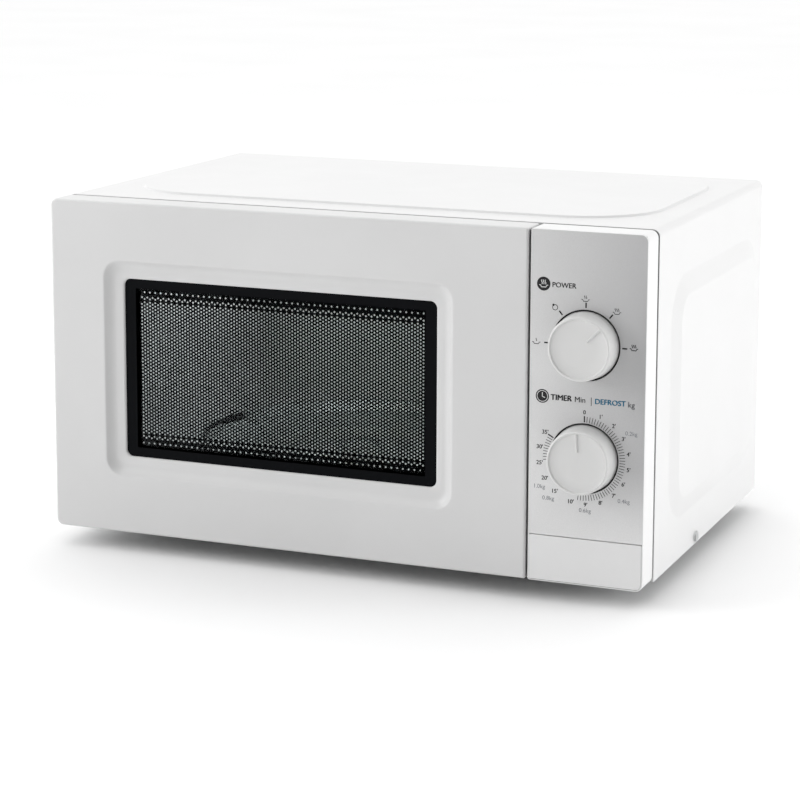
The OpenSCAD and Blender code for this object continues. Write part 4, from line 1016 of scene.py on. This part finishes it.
def stroke(points, width):
    """Outline of a line of some width through points."""
    left, right = [], []
    for i, (x, z) in enumerate(points):
        x0, z0 = points[max(i - 1, 0)]
        x1, z1 = points[min(i + 1, len(points) - 1)]
        length = hypot(x1 - x0, z1 - z0)
        nx, nz = -(z1 - z0) / length * width / 2, (x1 - x0) / length * width / 2
        left.append((x + nx, z + nz))
        right.append((x - nx, z - nz))
    return left + right[::-1]


def polar(x, z, r, deg):
    """Point at a distance r from (x, z), deg degrees clockwise from the top."""
    a = radians(deg)
    return x + r * sin(a), z + r * cos(a)


def tick(z, deg, r0, r1, width):
    """Mark on the dial at height z, from r0 to r1 out from its middle."""
    return stroke([polar(KX, z, r0, deg), polar(KX, z, r1, deg)], width)


def arc_line(x, z, r, start, end, width, steps=14):
    """Line of some width along an arc, from start to end degrees clockwise from the top."""
    return stroke([polar(x, z, r, start + (end - start) * k / steps) for k in range(steps + 1)], width)


def disc(x, z, r, steps=48):
    return [polar(x, z, r, -360 * k / steps) for k in range(steps)]


def text(words, x, z, size, bold=0.0, align="CENTER"):
    """Words in the face sheet's plane; bold ones are two copies, set apart by twice bold."""
    spread = [(-bold, -bold / 2), (bold, bold / 2)] if bold else [(0, 0)]
    copies = []
    for dx, dz in spread:
        curve = bpy.data.curves.new("words", "FONT")
        curve.body = words
        curve.size = size * 0.001
        curve.align_x = align
        curve.align_y = "CENTER"
        curve.extrude = PRINT_THICK / 2 * 0.001
        curve.resolution_u = 3
        obj = add_object("words", curve)
        obj.rotation_euler = (radians(90), 0, 0)
        obj.location = mm((x + dx, PRINT_Y + PRINT_THICK / 2, z + dz))
        copies.append(obj)
    bpy.context.view_layer.update()
    return copies


def bowl(x, z, size, waves, width=0.45, tall=1.0):
    """Dish of half width size, with steam lines over it."""
    dish = [(-1.0, 0.1), (-0.72, 0.1), (-0.5, -0.32), (0.5, -0.32), (0.72, 0.1), (1.0, 0.1)]
    lines = [stroke([(x + size * u, z + size * v) for u, v in dish], width)]
    for k in range(waves):
        wx = x + (k - (waves - 1) / 2) * size * 0.4
        steam = [(wx + 0.09 * size * sin(tau * i / 8), z + size * (0.28 + (tall - 0.28) * i / 8))
                 for i in range(9)]
        lines.append(stroke(steam, width * 0.9))
    return lines


def timer_angle(minutes):
    """Degrees clockwise on the timer's scale, which is wider up to 10 minutes."""
    if minutes == 0:
        return 0.0
    return 1.5 + 19.5 * minutes if minutes <= 10 else 200.0 + 4.0 * (minutes - 10)


POWER_MARKS = (-90, -40, 0, 40, 90)
# The round icon beside each title, from the middle of its dial
ICON_X = -29.7
POWER_ICON_Z = 39.7
TIMER_ICON_Z = 40.4


def power_marks():
    """Five ticks and their pictures: four dishes with more and more steam, and a round one."""
    lines = [tick(PZ, deg, 25.4, 28.9, 1.0) for deg in POWER_MARKS]
    lines += bowl(KX - 34.4, PZ - 0.3, 2.9, 1)
    lines += bowl(KX - 0.4, PZ + 30.7, 2.9, 2)
    lines += bowl(KX + 21.4, PZ + 23.6, 2.9, 3)
    lines += bowl(KX + 33.4, PZ + 0.1, 2.9, 3, 0.62)
    lines.append(arc_line(KX - 21.5, PZ + 24.3, 1.8, -20, 320, 0.4, 24))
    lines.append(disc(KX - 22.7, PZ + 25.9, 0.75, 20))
    return lines


def timer_marks():
    """A fine tick every four degrees, with a gap low on the left, and heavy end marks."""
    lines = []
    for deg in range(4, 300, 4):
        if deg <= 188 or deg >= 264:
            lines.append(tick(TZ, deg, 24.9, 28.8, 0.38))
    lines += [tick(TZ, deg, 24.9, 29.2, 0.85) for deg in (0, 300)]
    lines.append(stroke([(KX + 4.6, TZ + 36.4), (KX + 4.6, TZ + 42.2)], 0.42))
    return lines


def build_print(mats):
    """Marks, numbers, icons and titles, one piece for each ink."""
    discs = [disc(KX + ICON_X, PZ + POWER_ICON_Z, 4.7), disc(KX + ICON_X, TZ + TIMER_ICON_Z, 4.7)]
    black = [flat_shape("lines", power_marks() + timer_marks() + discs)]
    clock_x, clock_z = KX + ICON_X, TZ + TIMER_ICON_Z
    icon = bowl(clock_x, PZ + POWER_ICON_Z - 1.2, 3.1, 3, 0.6, 1.25)
    hands = [(clock_x, clock_z + 2.5), (clock_x, clock_z - 0.2), (clock_x + 1.9, clock_z - 1.0)]
    icon += [arc_line(clock_x, clock_z, 3.7, 0, 360, 0.42, 40), stroke(hands, 0.6)]
    pale = [flat_shape("icons", icon, PRINT_Y - 0.05)]
    for words, left, z, size, bold in (("POWER", -23.8, PZ + 39.3, 4.85, 0.10),
                                       ("TIMER", -23.8, TZ + 40.0, 5.4, 0.24),
                                       ("Min", -7.2, TZ + 39.8, 5.3, 0.05)):
        black += text(words, KX + left, z, size, bold, "LEFT")
    blue = text("DEFROST", KX + 7.0, TZ + 39.6, 5.1, 0.2, "LEFT")
    for minutes in list(range(0, 11)) + [15, 20, 25, 30, 35]:
        x, z = polar(KX, TZ, 31.6, timer_angle(minutes))
        black += text(str(minutes) + ("'" if minutes else ""), x, z, 4.0, 0.09)
    grey = text("kg", KX + 29.9, TZ + 39.3, 5.4, 0.04, "LEFT")
    for words, deg, r in (("0.2kg", 58.7, 38.2), ("0.4kg", 133.4, 38.8), ("0.6kg", 178, 35.6),
                          ("0.8kg", 220, 38.5), ("1.0kg", 235, 38.2)):
        x, z = polar(KX, TZ, r, deg)
        grey += text(words, x, z, 4.0)
    for shade, parts, look in (("black", black, "ink_black"), ("grey", grey, "ink_grey"),
                               ("blue", blue, "ink_blue"), ("pale", pale, "overlay")):
        place(join("dial_print_" + shade, parts), "chassis", mats[look], "overlay_silver")


# ---- pieces that keep their CAD shape ----

CAD_LOOKS = {
    "zinc": "base_plate back_plate waveguide magnetron_yoke magnetron_filter capacitor_clamp turntable_motor "
            "drive_shaft upper_hinge lower_hinge timer_plate timer_shaft power_shaft case_screws",
    "frame": "front_frame door_panel",
    "enamel": "cavity_shell",
    "mica": "waveguide_cover",
    "copper": "magnetron_anode",
    "aluminium": "magnetron_fins hv_capacitor fan_rotor",
    "core": "transformer_core fan_motor",
    "winding": "transformer_coils",
    "black": "hv_diode interlock_switches cord_gland",
    "rubber": "feet",
    "board": "noise_filter",
    "ivory": "thermal_cutouts lamp_holder timer_gearbox power_selector",
    "grey": "air_duct fan_shroud",
    "natural": "turntable_coupler roller_ring roller_1 roller_2 roller_3 interlock_body",
    "nylon": "latch_hooks release_lever",
    "choke": "choke_cover",
    "tray": "glass_tray",
    "film": "inner_film",
    "bulb": "cavity_lamp",
    "wire": "latch_spring button_spring",
    "glass": "fuse",
}
# Sheets and wires too thin for a bevelled edge
THIN = ("waveguide_cover inner_film latch_spring button_spring magnetron_fins door_panel front_frame "
        "back_plate cavity_shell base_plate").split()


def dress_cad(mats):
    """Materials for the CAD nodes, and a fine bevel on all but the thin ones."""
    bevel = 0.25
    for look, names in CAD_LOOKS.items():
        for name in names.split():
            node = NODES[name]
            node.data.materials.clear()
            node.data.materials.append(mats[look])
            smooth(node, 30)
            if name not in THIN:
                add_bevel(node, bevel)


# ---- stage ----

CAMERA_AT = (676.3, YF - 1536.0, 498.4)
PITCH_DEG, YAW_DEG, ROLL_DEG = -9.238, 21.777, -0.231
LENS = 111.5
SENSOR = 36
SHIFT = (-0.025, -0.175)


def build_camera():
    """The photograph's viewpoint."""
    data = bpy.data.cameras.new("camera")
    data.sensor_width = SENSOR
    data.lens = LENS
    data.shift_x, data.shift_y = SHIFT
    data.clip_end = 50
    cam = add_object("camera", data)
    cam.location = mm(CAMERA_AT)
    turn = Matrix.Identity(4)
    for degrees, axis in ((YAW_DEG, "Z"), (PITCH_DEG, "X"), (ROLL_DEG, "Y"), (90, "X")):
        turn = turn @ Matrix.Rotation(radians(degrees), 4, axis)
    cam.rotation_euler = turn.to_euler()
    bpy.context.scene.camera = cam


def area(name, size, at, target, power):
    """White lamp at a place in metres, facing target."""
    data = bpy.data.lights.new(name, "AREA")
    data.shape = "RECTANGLE"
    data.size, data.size_y = size
    data.energy = power
    lamp = add_object(name, data)
    lamp.location = at
    direction = Vector(target) - Vector(at)
    lamp.rotation_euler = direction.to_track_quat("-Z", "Y").to_euler()


def build_floor():
    """Plain pale floor, wide enough to have no edge in view."""
    half = 30000
    corners = [(-half, -half, 0), (half, -half, 0), (half, half, 0), (-half, half, 0)]
    floor = link_mesh("floor", corners, [(0, 1, 2, 3)], 30)
    m = Nodes("pale_floor")
    base = m.ramp(m.noise(3, 3), [(0.3, (0.93, 0.93, 0.93)), (0.7, (0.95, 0.95, 0.95))])
    floor.data.materials.append(m.surface(m.principled(base, 0.9)))


# Even light, then lobes: direction, the cosine where a lobe begins, and what it adds in its middle
SKY_BASE = 1.32
SKY_LOBES = (((0.5, -0.85, 0.0), 0.2, -1.4), ((-0.7, -0.7, 0.1), 0.3, -0.24), ((0.8, 0.6, 0.1), 0.3, -0.32),
             ((0.0, 0.0, 1.0), 0.3, 0.62), ((0.7, 0.0, 0.7), 0.7, -0.29))


def build_world():
    """Soft white studio: brightest overhead, dim in front on the right."""
    world = bpy.data.worlds.new("studio")
    world.use_nodes = True
    tree = world.node_tree
    tree.nodes.clear()
    coords = tree.nodes.new("ShaderNodeTexCoord")
    total = SKY_BASE
    for direction, start, amount in SKY_LOBES:
        toward = tree.nodes.new("ShaderNodeVectorMath")
        toward.operation = "DOT_PRODUCT"
        toward.inputs[1].default_value = Vector(direction).normalized()
        tree.links.new(coords.outputs["Generated"], toward.inputs[0])
        lobe = tree.nodes.new("ShaderNodeMapRange")
        lobe.interpolation_type = "SMOOTHSTEP"
        set_range(lobe, start, 1.0, 0.0, amount)
        tree.links.new(toward.outputs["Value"], lobe.inputs["Value"])
        add = tree.nodes.new("ShaderNodeMath")
        tree.links.new(lobe.outputs["Result"], add.inputs[0])
        feed(tree, add.inputs[1], total)
        total = add.outputs[0]
    sky = tree.nodes.new("ShaderNodeBackground")
    tree.links.new(total, sky.inputs["Strength"])
    out = tree.nodes.new("ShaderNodeOutputWorld")
    tree.links.new(sky.outputs[0], out.inputs["Surface"])
    bpy.context.scene.world = world


def build_stage():
    build_floor()
    build_world()
    area("left_box", (1.2, 1.2), (-2.0, -1.3, 0.9), (-0.1, -0.15, 0.14), 18.3)
    area("right_edge", (0.8, 1.2), (2.3, 0.35, 0.55), (0.2, 0.0, 0.13), 19.7)
    area("cavity_glow", (0.2, 0.2), (-0.05, 0.02, 0.236), (-0.05, 0.02, 0.05), 0.6)
    bpy.context.scene.view_settings.view_transform = "Standard"


# ---- everything ----


def build():
    mats = make_materials()
    dress_cad(mats)
    build_case(mats)
    build_door_frame(mats)
    build_screen(mats)
    build_window(mats)
    build_panel_housing(mats)
    build_gasket(mats)
    build_seals(mats)
    build_overlay(mats)
    build_button(mats)
    build_knob("dial_power", "power_knob", "power_control", PZ, 45, mats)
    build_knob("dial_timer", "timer_knob", "timer_control", TZ, -3, mats)
    build_springs(mats)
    build_print(mats)
    build_camera()
    build_stage()


build()
